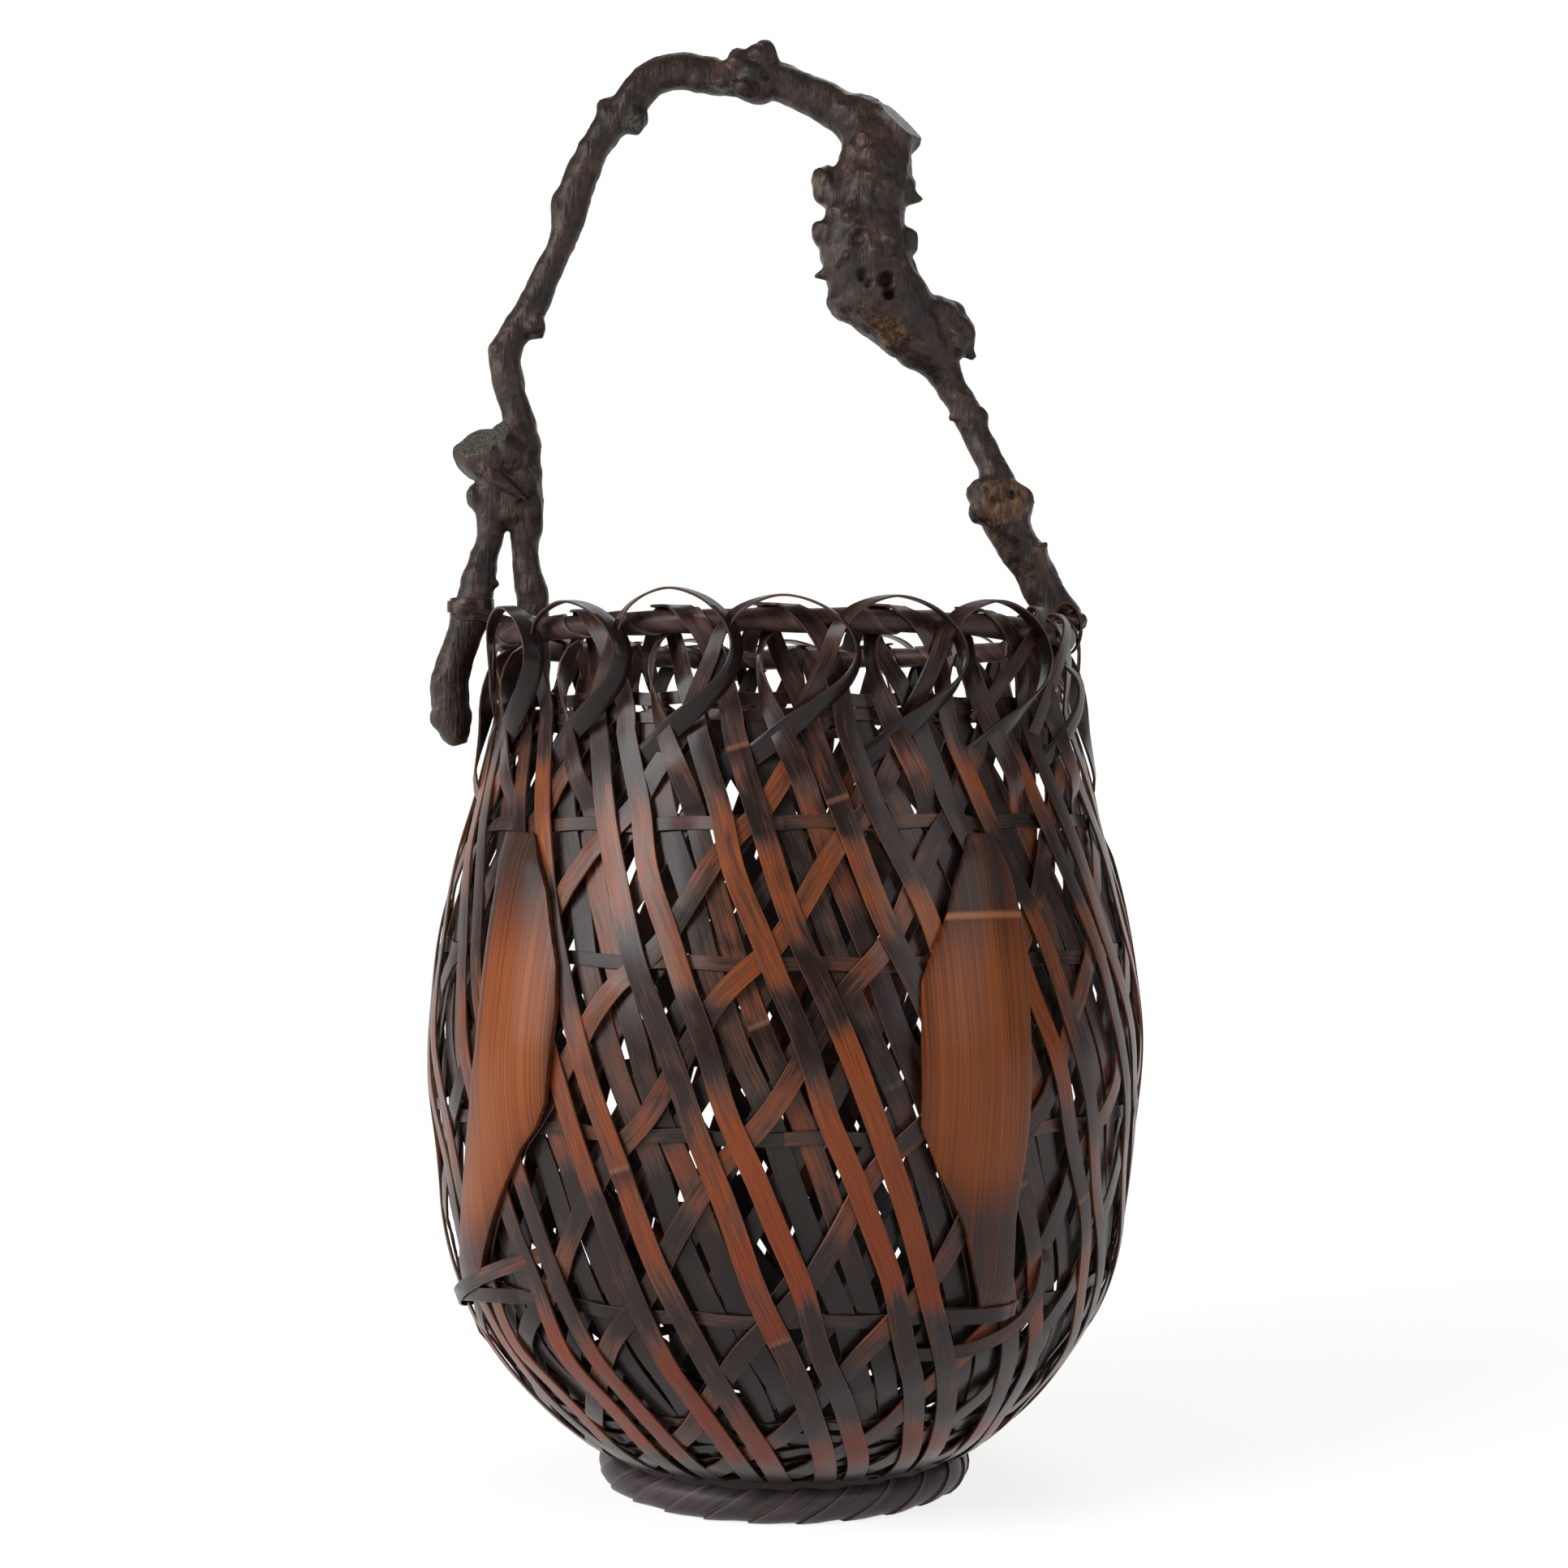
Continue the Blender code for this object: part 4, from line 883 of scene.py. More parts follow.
def lay_hoop(template, height, width, dice, sway=0.4 * MM):
    """A band round the wall that waves in and out with the strips it is woven through."""
    angle = np.linspace(0, TURN, HOOP_STEPS + 1)
    run = Wall.at_height(height) + sway * np.sin(angle * PITCHES)
    run = run + 0.5 * MM * np.sin(angle * 2 + dice.uniform(0, TURN))
    lift = HOOP_LIFT + 0.3 * MM * np.cos(angle * PITCHES * 2)
    points, outward = Wall.points(run, angle, lift)
    place, length = follow(points, outward)
    narrow = np.array([1, width, 1])
    # Low darkens the band towards the foot, a painted shade
    return lay_strip(template, "band", lambda flat: place(flat * narrow), length, dice, 0.5, low=0.3)


# Loops over the rim, with the same columns as the ways over it
LOOP_ROWS = (
    (-19.0, 223.0, 87.6, 0), (-17.6, 230.5, 89.2, 0), (-15.2, 238.5, 91.2, 2), (-13.0, 246.5, 92.2, 14),
    (-11.2, 254.5, 92.8, 34), (-7.8, 261.0, 93.2, 62), (-1.2, 264.6, 93.6, 84), (5.4, 262.0, 94.0, 80),
    (10.2, 255.5, 94.4, 72), (11.9, 247.6, 94.8, 64), (10.2, 239.9, 94.8, 54), (5.6, 232.8, 94.2, 38),
    (1.0, 227.5, 93.4, 18), (-2.6, 223.0, 92.2, 4), (-6.5, 218.5, 90.8, 0),
)
# How much lower some front loops stand, in mm, counted from the front one to the right
LOWER_LOOPS = {0: 1.0, 1: 1.4, 2: 1.8, 15: 1.5, 16: 0.8}
# The loop that is folded over the hoop instead, its face turned upwards by the last angle
FOLDED_LOOP = 3
FOLDED_ROWS = (
    (-24.0, 229.0, 89.6, 0), (-21.0, 236.0, 91.6, 0), (-16.5, 244.0, 92.6, 0), (-12.0, 251.5, 93.0, 0),
    (-8.0, 258.2, 92.8, 4), (-6.2, 261.6, 91.2, 30), (-5.0, 263.0, 88.0, 90), (-2.0, 261.0, 83.2, 150),
    (1.5, 257.0, 81.0, 180), (4.0, 250.5, 86.0, 262), (5.5, 243.0, 93.6, 200), (5.2, 236.0, 94.6, 180),
    (2.5, 229.5, 93.6, 180), (-1.0, 224.0, 92.2, 180), (-5.0, 219.0, 90.8, 180),
)


class BASKET_OT_rim_loops(bpy.types.Operator):
    """Strips bent over in a loop above the rim hoop, tucked back under the bowed ones"""
    bl_idname = "basket.rim_loops"
    bl_label = "Rim loops"

    def execute(self, context):
        sizes = context.scene.basket_sizes
        template = flat_strip("loop_template", 90, sizes.loop_width, 0.65 * MM, crown=0.05 * MM)
        material = smoked_strips()
        number = 0
        for at in range(PITCHES):
            angle = LOOP_TURN + at * PITCH
            if any(is_near(angle, leg) for leg in HANDLE_LEGS):
                continue
            number += 1
            dice = seeded(context, 6000, at)
            points, outward = loop_line(angle, dice, at == FOLDED_LOOP, LOWER_LOOPS.get(at, 0))
            shares = np.linspace(0, 1, len(points))
            place, length = follow(points, outward, 1 + 0.3 * ease(shares, 0.42, 0.6))
            # The loop's descending half darkens: partly the strip's darker back side, partly painted shade
            # where it faces down and in
            made = lay_strip(template, "loop", place, length, dice, 0.55,
                             toning=lambda share: -0.75 * ease(share, 0.42, 0.62))
            finish_piece(join([made], f"bent_loop_{number:02d}"), material, "amber_bamboo",
                         f"rim_loop_{number:02d}")
        remove(template)
        return {"FINISHED"}


def is_near(angle, leg):
    away = (angle - leg + math.pi) % TURN - math.pi
    return abs(away) < LEG_CLEARANCE


def loop_line(angle, dice, folded, lower):
    """A loop's line, which turns from flat on the left to edge-on over the top, unless it is folded."""
    tall = dice.uniform(-2.0, 0.8) - lower
    lean = dice.uniform(-0.8, 0.8)
    wide = dice.uniform(0.92, 1.05)
    rows = []
    for turn, height, radius, tilt in FOLDED_ROWS if folded else LOOP_ROWS:
        share = max(min((height - 235) / 29, 1), 0)
        rows.append((turn * wide + lean * share, height + tall * share, radius, tilt))
    return over_rim(rim_rows(rows, angle), 7, "up" if folded else "edge-on")


class BASKET_OT_windings(bpy.types.Operator):
    """The flat strips wound round the foot ring and round the rim hoop"""
    bl_idname = "basket.windings"
    bl_label = "Windings"

    def execute(self, context):
        grey, brown = foot_winding(), rim_winding()
        for name, node_name, material, hoop, lapped, hand, slant in (
                ("foot_winding", "foot_ring_winding", grey, FOOT_HOOP, 1.35, 1, 0.4),
                ("rim_winding", "rim_hoop_winding", brown, RIM_HOOP, 1.3, -1, 0)):
            dice = seeded(context, 7000, WINDINGS + len(name))
            template = flat_strip("winding_template", WINDINGS * 20, 1.0, 0.8 * MM, rows=6, edge=0.15 * MM)
            made = lay_winding(template, name, hoop, lapped, hand, slant, dice)
            finish_piece(made, material, "winding_bamboo", node_name)
            remove(template)
        for core in ("foot_ring_core", "rim_hoop_core"):
            dress(core, brown)
        return {"FINISHED"}


def dress(node_name, material):
    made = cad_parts[node_name]
    made.data.materials.clear()
    made.data.materials.append(material)


def lay_winding(template, name, hoop, lapped, hand, slant, dice):
    """A strip wound round a hoop from behind, each turn lapped over the one before. Hand 1 rises to
    the right on the outside, and the slant, in pitches, lays it more oblique there."""
    radius, section, height = hoop
    pitch = TURN / WINDINGS
    width = lapped * pitch
    phases = [dice.uniform(0, TURN) for _ in range(3)]
    length = WINDINGS * TURN * section

    def place(flat):
        u, v = flat[:, 0], flat[:, 1] + 0.5
        roll = math.pi + hand * u * TURN * WINDINGS
        angle = math.pi + u * TURN - hand * (v - 0.5) * width
        angle = angle + hand * slant * pitch * np.sin(roll) + 0.012 * np.sin(roll + phases[0])
        uneven = (0.12 * np.sin(angle * 11 + phases[1]) + 0.1 * np.sin(angle * 23 + phases[2])) * MM
        lap = -0.95 * MM * (1 - v)
        reach = section + lap + uneven + flat[:, 2]
        places = around(radius + reach * np.cos(roll), angle, height + reach * np.sin(roll))
        places[:, 2] = np.maximum(places[:, 2], 0)
        return places

    made = lay_strip(template, name, place, length, dice, 0.0)
    uv = made.data.uv_layers[0].data
    mapped = np.empty(len(made.data.loops) * 2, np.float32)
    uv.foreach_get("uv", mapped)
    mapped[1::2] *= width * radius
    uv.foreach_set("uv", mapped)
    return join([made], name)


class BASKET_OT_base(bpy.types.Operator):
    """The plain-woven base inside the foot ring"""
    bl_idname = "basket.base"
    bl_label = "Woven base"

    def execute(self, context):
        template = flat_strip("base_template", BASE_STEPS, 6.3 * MM, 0.7 * MM, rows=2)
        # Strips 7.4 mm apart, cut to a round of 52 mm and woven over and under at 11.6 mm
        pitch = 7.4 * MM
        reach = 52 * MM
        strips = []
        for way in (0, 1):
            for at in range(-6, 7):
                dice = seeded(context, 8000, at + 50 * way)
                offset = at * pitch
                half = math.sqrt(reach ** 2 - offset ** 2)
                along = np.linspace(-half, half, 2 * BASE_STEPS + 1)
                height = 11.6 * MM + 0.5 * MM * np.cos(along / pitch * math.pi + math.pi * (at + way))
                points = np.stack([along, np.full(len(along), offset), height], axis=1)
                if way:
                    points = points[:, [1, 0, 2]]
                place, length = follow(points, np.tile([0, 0, 1.0], (len(points), 1)))
                strips.append(lay_strip(template, "base", place, length, dice, 0.4))
        finish_piece(join(strips, "base_weave"), dark_strips(), "dark_bamboo", "woven_base")
        remove(template)
        return {"FINISHED"}


# Slat outlines in mm: (height, left edge, right edge) from the slat's middle line
SLAT_RIGHT = (
    (66, 6, 15), (72, 4, 15.6), (79, 1.3, 14.6), (92, -2.6, 14), (99, -6.6, 14.6), (110, -12.6, 16.3),
    (120, -17.2, 17), (139, -17.5, 17), (159, -16, 17.8), (167, -12, 17.7), (174, -7.8, 17.5),
    (186, -2.6, 15.8), (198, 4.2, 12),
)
SLAT_LEFT = (
    (66, -41.5, -32.5), (74, -36.5, -21.5), (84, -31.6, -15), (98, -26.8, -6), (112, -22, 4.4),
    (118, -19.6, 10.6), (125, -17.4, 14.5), (138, -14.6, 16.3), (150, -14.3, 17), (162, -14.6, 15.7),
    (173, -14.6, 11.4), (182, -14.6, 8), (190, -15.5, 2.6), (198, -16.3, -2.4),
)
SLAT_THICKNESS = 2.2 * MM
SLAT_TURN = math.radians(28.5)
# From the front right: (outline, -1 where mirrored, height of its node, height where its foot darkens)
SLATS = (
    (SLAT_RIGHT, 1, 175.5, 96), (SLAT_RIGHT, -1, 96, 84), (SLAT_RIGHT, 1, 168, 90),
    (SLAT_RIGHT, -1, 120, 88), (SLAT_LEFT, 1, None, 82),
)
# Strips that hold the slats' feet: (degrees, height in mm, lift in mm)
TIES = (
    ((-79, 57.0, -2.4), (-76, 58.8, 0.6), (-70, 62.6, 2.4), (-62, 68.0, 2.6), (-54, 73.4, 1.2),
     (-47, 77.6, 0.4), (-42, 80.6, -1.6), (-38, 83.0, -3.6)),
    ((-79, 58.0, -2.6), (-75, 60.6, 0.4), (-68, 63.6, 1.6), (-60, 65.6, 0.8), (-53, 66.6, -0.6),
     (-46, 67.0, -3.4)),
    ((24, 66.4, -2.4), (30, 66.9, 1.2), (34.5, 67.2, 2.2), (38, 67.1, 0.8), (42, 66.9, -2.4)),
    ((46.0, 91.0, -3.8), (44.8, 84.0, -1.8), (43.8, 78.0, 0.8), (42.8, 71.0, 1.6), (40.6, 64.8, 1.8),
     (36.6, 60.2, 1.4), (31.6, 57.2, 0.6), (27.0, 55.6, -1.4), (21.0, 54.4, -3.6)),
)
# The same over a slat behind, counted from its middle line
REAR_TIE = ((-9, 60.0, -2.4), (-4, 62.8, 0.6), (4, 67.4, 2.5), (11, 71.6, 1.0), (17, 75.0, -2.4))


class BASKET_OT_slats(bpy.types.Operator):
    """Split culm slats with cut ends, laid over the weave, and the ties over their feet"""
    bl_idname = "basket.slats"
    bl_label = "Slats"

    def execute(self, context):
        material = culm()
        for number, (outline, way, knot, char) in enumerate(SLATS, 1):
            rows = [(height, *sorted((way * left, way * right))) for height, left, right in outline]
            angle = SLAT_TURN + (number - 1) * TURN / len(SLATS)
            made = lay_slat(f"culm_slat_{number}", angle, rows, knot, char, seeded(context, 9000, number))
            finish_piece(made, material, "slat_bamboo", f"slat_{number}")
        template = flat_strip("tie_template", 60, 4.4 * MM, 0.7 * MM)
        dice = seeded(context, 9500)
        behind = [[(math.degrees(SLAT_TURN) + 360 / len(SLATS) * at + SLATS[at][1] * turn, height, lift)
                   for turn, height, lift in REAR_TIE] for at in (1, 2, 3)]
        ties = []
        for rows in (*TIES, *behind):
            angle, run, lift = smooth([(math.radians(turn), Wall.at_height(height * MM), lift * MM)
                                       for turn, height, lift in rows]).T
            points, outward = Wall.points(run, angle, lift)
            place, length = follow(points, outward)
            ties.append(lay_strip(template, "tie", place, length, dice, 0.8, toning=lambda share: -0.28))
        finish_piece(join(ties, "slat_ties"), smoked_strips(), "amber_bamboo")
        remove(template)
        return {"FINISHED"}


def lay_slat(name, middle, outline, knot, char, dice):
    """A slat: a grid mapped over its outline, crowned across, with a wall and chamfered edges."""
    deselect()
    bpy.ops.mesh.primitive_grid_add(x_subdivisions=90, y_subdivisions=20, size=1)
    made = bpy.context.object
    made.name = made.data.name = name
    rows = np.array(outline, float) * MM
    flat = vertex_places(made.data)
    bottom, top = rows[0, 0], rows[-1, 0]
    height = bottom + (flat[:, 0] + 0.5) * (top - bottom)
    left = np.interp(height, rows[:, 0], rows[:, 1])
    right = np.interp(height, rows[:, 0], rows[:, 2])
    share = 0.5 - flat[:, 1]
    across = left + share * (right - left)
    run = Wall.at_height(height)
    # It lies 1.6 mm off the wall, stands highest along its middle and at its node, and dips at its ends
    ridge = 0 if knot is None else 0.55 * MM * np.exp(-((height - knot * MM) / (0.9 * MM)) ** 2)
    ends = ease(np.minimum(height - bottom, top - height), 0, 9 * MM)
    crown = 1.2 * MM * (1 - (2 * share - 1) ** 2) * np.clip((right - left) / (32 * MM), 0, 1)
    lift = 1.6 * MM + crown + ridge - 1.0 * MM * (1 - ends)
    places, _ = Wall.points(run, middle + across / Wall.radius(run), lift)
    set_places(made.data, places)
    shift = dice.uniform(0, 4)
    set_map(made.data, height, across, (shift, shift * 0.31))
    # Amber between its darkened ends and sides, and dark above a high node
    pale = ease(height, (char - 6) * MM, (char + 16) * MM) * ease(top - 8 * MM - height, 0, 34 * MM)
    if knot is not None and knot > 150:
        pale = pale * np.where(height > (knot + 1) * MM, 0.35, 1)
    sides = 1 - np.abs(2 * share - 1) ** 2.4
    set_attribute(made.data, "tone", 0.10 + 0.85 * pale * (0.45 + 0.55 * sides))
    away = np.full(len(height), NODE_REACH)
    if knot is not None:
        away = np.clip(height - knot * MM, -NODE_REACH, NODE_REACH)
    set_attribute(made.data, "from_node", away)
    thicken(made, SLAT_THICKNESS, 0.35 * MM, 2)
    return made


# The branch in mm: (x, y, z, radius) along the arch and its long leg, from the right foot
STEM = (
    (88.6, 0, 259.0, 5.0), (85.6, 0, 262.5, 7.2), (81.6, 0, 269.5, 6.2), (76.4, 0, 279.1, 6.4),
    (71.0, 0, 288.0, 6.8), (67.4, -1.2, 296.8, 8.0), (65.6, -1.2, 304.2, 6.4), (63.3, -0.9, 312.2, 4.2),
    (60.0, 0.9, 319.0, 4.4), (56.4, 1.7, 327.0, 5.1), (52.4, 1.7, 333.2, 4.7), (48.4, 1.7, 340.4, 5.8),
    (43.2, 0, 347.6, 9.0), (36.2, -2.0, 356.0, 12.0), (28.4, -3.6, 365.0, 13.8),
    (24.8, -4.0, 376.5, 14.2), (25.0, -4.0, 387.0, 12.2), (27.0, -3.2, 397.0, 12.2),
    (28.0, -1.7, 406.0, 11.4), (24.8, 0, 414.6, 9.2), (17.4, 0.9, 419.6, 6.6), (8.5, 0.9, 424.6, 6.2),
    (-1.5, 1.7, 429.4, 6.0), (-9.4, 1.7, 431.0, 6.8), (-17.7, 1.7, 430.2, 5.2), (-24.6, 0.9, 431.6, 5.6),
    (-32.0, 0.6, 432.2, 5.7), (-40.6, 0, 429.8, 5.5), (-47.4, 0, 422.2, 5.4), (-53.0, 0, 416.0, 5.4),
    (-57.9, 0.9, 409.6, 5.1), (-61.8, 0.9, 402.0, 5.4), (-64.9, 0.9, 393.6, 5.6),
    (-67.0, 1.7, 385.3, 5.1), (-69.8, 1.7, 377.7, 4.0), (-73.6, 2.6, 369.1, 4.1),
    (-77.9, 3.4, 360.5, 5.1), (-83.4, 3.4, 352.0, 5.0), (-86.4, 3.4, 345.4, 5.2),
    (-85.3, 3.4, 336.6, 5.0), (-82.6, 3.6, 327.7, 4.7), (-81.2, 3.8, 317.8, 5.6),
    (-80.4, 3.8, 306.4, 5.6), (-79.7, 3.8, 295.0, 5.4), (-80.1, 3.8, 284.9, 4.5),
    (-79.2, 4.0, 276.6, 4.5), (-77.6, 4.2, 268.0, 4.9), (-77.0, 4.2, 256.0, 4.7),
    (-77.1, 4.2, 238.5, 4.4),
)
SHORT_LEG = (
    (-84.0, 3.0, 316.0, 7.0), (-88.8, 2.2, 305.0, 6.6), (-90.2, 1.7, 295.6, 5.2),
    (-91.0, 1.7, 288.4, 4.3), (-92.8, 1.7, 282.3, 4.3), (-94.3, 1.7, 275.0, 5.5),
    (-96.8, 1.7, 264.0, 5.9), (-99.8, 1.7, 256.0, 5.6), (-102.4, 1.7, 248.0, 5.8),
    (-103.0, 1.7, 240.0, 6.1), (-102.2, 1.7, 233.0, 6.0), (-101.0, 1.7, 227.4, 4.8),
    (-100.2, 1.7, 224.6, 2.6),
)
# Swellings in mm: (x, y, z, three half sizes)
KNOTS = (
    (-13.8, 0.0, 434.2, 4.2, 5.6, 4.4), (-6.8, 0.0, 436.2, 4.8, 6.2, 5.1),
    (-9.0, 0.0, 428.6, 7.0, 6.4, 6.6), (-11.6, -4.6, 425.4, 4.6, 3.0, 3.0),
    (-18.4, -1.5, 428.6, 3.4, 4.0, 3.4), (-26.5, -1.0, 428.6, 3.0, 3.6, 2.8),
    (32.0, -1.0, 412.4, 9.8, 10.2, 9.8), (20.0, -1.0, 418.0, 6.6, 6.4, 5.0),
    (12.6, -3.4, 395.8, 4.3, 5.4, 6.4), (17.2, -3.0, 394.0, 5.4, 7.0, 7.4),
    (11.6, -5.0, 381.0, 3.4, 5.0, 4.0), (38.0, -3.0, 378.6, 3.4, 5.0, 4.6),
    (36.6, -3.0, 395.0, 4.0, 5.4, 5.0), (19.6, -3.6, 361.0, 7.0, 7.4, 6.4),
    (33.0, -4.0, 351.0, 5.4, 6.0, 7.6), (42.5, -2.0, 354.0, 8.0, 8.4, 8.4),
    (48.4, 0.0, 355.6, 8.0, 7.6, 7.4), (53.4, 0.0, 350.6, 5.6, 6.2, 7.0),
    (64.6, -1.7, 301.4, 8.4, 8.2, 6.6), (71.0, -1.2, 298.8, 5.8, 7.0, 6.4),
    (61.4, -2.0, 297.0, 5.0, 5.6, 5.4), (70.6, -3.0, 290.2, 5.4, 5.0, 6.4),
    (76.8, -2.4, 281.8, 4.6, 4.6, 5.0), (59.4, 0.4, 325.6, 3.6, 4.0, 3.6),
    (-46.6, -0.6, 417.6, 4.4, 4.6, 5.2), (-54.4, -0.6, 419.6, 3.6, 4.4, 4.4),
    (-69.0, 0.4, 391.0, 2.8, 4.0, 5.0), (-76.8, 1.6, 353.8, 3.8, 4.2, 4.0),
    (-81.4, 2.0, 357.0, 3.2, 3.8, 3.6), (-88.0, 2.0, 346.2, 3.4, 4.0, 4.6),
    (-92.2, 0.4, 313.6, 9.4, 8.8, 8.0), (-85.0, 0.4, 315.0, 7.4, 7.8, 8.6),
    (-80.4, 2.2, 305.0, 5.6, 6.4, 9.0), (-77.8, 2.4, 298.0, 3.8, 5.0, 6.0),
    (-85.0, 1.4, 297.4, 5.4, 6.0, 6.4), (-95.0, 1.0, 301.0, 3.2, 4.2, 4.2),
    (-106.0, 1.0, 243.4, 3.0, 4.6, 6.0), (-105.6, 1.0, 234.0, 3.4, 4.4, 5.0),
    (88.4, -6.0, 262.0, 4.0, 7.0, 3.4), (88.4, 6.0, 262.0, 4.0, 7.0, 3.4),
)
# Thorns in mm: (foot x, y, z, tip x, y, z, radius of the foot)
THORNS = (
    (37.0, -3.6, 392.6, 42.3, -4.4, 391.4, 3.4), (15.0, -6.0, 369.0, 8.8, -6.0, 367.4, 2.8),
    (54.0, 0.0, 351.0, 58.4, 0.0, 343.4, 4.4), (-93.0, 0.6, 275.0, -87.6, 0.0, 273.8, 3.0),
    (78.0, -2.0, 284.0, 80.6, -6.0, 286.0, 2.4), (53.6, 0.0, 327.0, 50.4, -1.0, 324.6, 2.6),
    (-80.0, 2.4, 352.0, -73.8, 1.4, 350.8, 2.6), (-23.0, 1.0, 430.0, -22.4, -4.4, 427.4, 2.2),
    (-31.6, 1.0, 430.6, -32.2, -4.6, 428.4, 2.4), (86.0, 0.0, 262.0, 91.8, 0.0, 261.6, 4.2),
    (-92.6, -5.4, 310.0, -78.0, -4.6, 298.6, 2.6),
)
# Warts on the burl's front in mm: (x, z, radius)
WARTS = (
    (20.5, 406.5, 1.9), (24.0, 408.8, 2.1), (25.5, 404.2, 1.8), (22.8, 396.6, 2.0), (27.0, 395.8, 2.4),
    (31.6, 394.4, 2.0), (35.0, 392.4, 2.0), (29.4, 391.6, 1.6), (19.6, 383.6, 2.0), (16.6, 370.0, 2.0),
    (22.6, 380.0, 2.0), (31.2, 376.4, 2.2), (28.0, 373.0, 2.0), (34.6, 385.0, 1.6), (15.6, 387.0, 1.7),
    (34.0, 370.4, 2.2), (19.6, 372.0, 2.0), (26.4, 388.0, 1.5),
)
# Hollows in mm: (x, y, z, radius, depth)
HOLLOWS = (
    (23.2, -18.0, 365.4, 2.6, 3.8), (25.2, -18.0, 363.0, 2.2, 3.4), (30.6, -16.6, 364.4, 2.8, 4.4),
    (31.6, -15.6, 360.6, 2.4, 4.4), (22.2, -18.4, 376.4, 2.8, 1.8), (35.4, -11.6, 357.0, 2.4, 2.6),
    (64.0, -9.8, 297.6, 2.2, 2.2), (69.4, -8.8, 300.6, 1.9, 2.0), (66.6, -9.6, 292.6, 1.8, 1.8),
    (-9.6, -6.0, 424.8, 3.4, 3.2), (-5.0, -6.4, 429.6, 2.4, 2.0),
)
# Sawn faces in mm: (a point of the face, its outward direction, how far it reaches)
SAWN_FACES = (
    ((34.8, -4.0, 416.4), (0.65, -0.36, 0.67), 12.5), ((-93.9, -3.2, 317.2), (-0.32, -0.66, 0.68), 12.0),
    ((-47.0, -3.2, 414.4), (0.10, -0.80, -0.55), 3.4), ((90.6, 0.0, 257.0), (0.86, 0.0, -0.51), 7.0),
)
# Torn wood in mm: (x, y, z, reach)
TORN_WOOD = (
    (31.4, -10.0, 350.4, 8.0), (66.0, -7.0, 298.0, 11.0), (-90.0, -6.0, 306.0, 3.0),
    (35.0, -10.0, 343.6, 4.5),
)
# The branch is remeshed in cells of this size, and its bark is pressed in at three sizes
GRAIN_VOXEL = 0.72 * MM
BARK_WAVES = (("gnarl", 10 * MM, 1.6 * MM), ("ripple", 4.4 * MM, 0.65 * MM), ("bark", 1.9 * MM, 0.26 * MM))


class BASKET_OT_branch(bpy.types.Operator):
    """The gnarled branch: two tubes, swellings, thorns and warts joined, then weathered"""
    bl_idname = "basket.branch"
    bl_label = "Branch handle"

    def execute(self, context):
        dice = seeded(context, 100)
        pieces = [branch_tube("stem", STEM), branch_tube("short_leg", SHORT_LEG)]
        for x, y, z, *half in KNOTS:
            pieces.append(swelling((x, y, z), half, dice))
        for row in THORNS:
            pieces.append(thorn(Vector(row[:3]) * MM, Vector(row[3:6]) * MM, row[6] * MM))
        # Warts sit on the stem's front, where its rows pass through the burl
        burl = np.array([row for row in STEM if 20 < row[0] < 50 and 340 < row[2] < 415])
        for x, z, half in WARTS:
            middle, back, radius = (float(np.interp(z, burl[:, 2], burl[:, at])) for at in (0, 1, 3))
            depth = back - math.sqrt(max(radius ** 2 - (x - middle) ** 2, 4)) + 0.6
            pieces.append(swelling((x, depth, z), (half, half * 1.1, half * 0.9), dice))
        made = join(pieces, "gnarled_branch")
        cells = made.modifiers.new("join", "REMESH")
        cells.mode = "VOXEL"
        cells.voxel_size = GRAIN_VOXEL
        relax = made.modifiers.new("relax", "SMOOTH")
        relax.factor = 0.5
        relax.iterations = 8
        for name, size, strength in BARK_WAVES:
            texture = bpy.data.textures.new(name, "CLOUDS")
            texture.noise_scale = size
            texture.noise_depth = 1
            step = made.modifiers.new(name, "DISPLACE")
            step.texture = texture
            step.texture_coords = "LOCAL"
            step.strength = strength
            step.mid_level = 0.5
        apply_modifiers(made)
        weather(made)
        finish_piece(made, branch_wood(), "branch_wood", "handle_branch")
        return {"FINISHED"}


def branch_tube(name, rows):
    """A round tube through (x, y, z, radius) rows, as a mesh."""
    curve = bpy.data.curves.new(name, "CURVE")
    curve.dimensions = "3D"
    curve.bevel_depth = MM
    curve.bevel_resolution = 5
    curve.resolution_u = 5
    curve.use_fill_caps = True
    spline = curve.splines.new("BEZIER")
    spline.bezier_points.add(len(rows) - 1)
    for point, (x, y, z, radius) in zip(spline.bezier_points, rows):
        point.co = (x * MM, y * MM, z * MM)
        point.radius = radius
        point.handle_left_type = point.handle_right_type = "AUTO"
    made = bpy.data.objects.new(name, curve)
    bpy.context.scene.collection.objects.link(made)
    make_active(made)
    bpy.ops.object.convert(target="MESH")
    return bpy.context.object


def swelling(place, half, dice):
    """An uneven rounded lump."""
    deselect()
    bpy.ops.mesh.primitive_ico_sphere_add(subdivisions=3, radius=1)
    made = bpy.context.object
    places = vertex_places(made.data)
    waves = np.array([dice.uniform(2, 5) for _ in range(3)])
    uneven = 1 + 0.10 * np.sin(places @ waves + dice.uniform(0, TURN))
    set_places(made.data, (places * uneven[:, None] * np.array(half) + np.array(place)) * MM)
    return made


def thorn(foot, tip, radius):
    """A cone from its foot to its tip."""
    deselect()
    way = tip - foot
    bpy.ops.mesh.primitive_cone_add(vertices=14, radius1=radius, radius2=0.9 * MM, depth=way.length)
    made = bpy.context.object
    turn = way.to_track_quat("Z", "Y").to_matrix()
    places = vertex_places(made.data) @ np.array(turn.transposed()) + np.array((foot + tip) / 2)
    set_places(made.data, places)
    return made


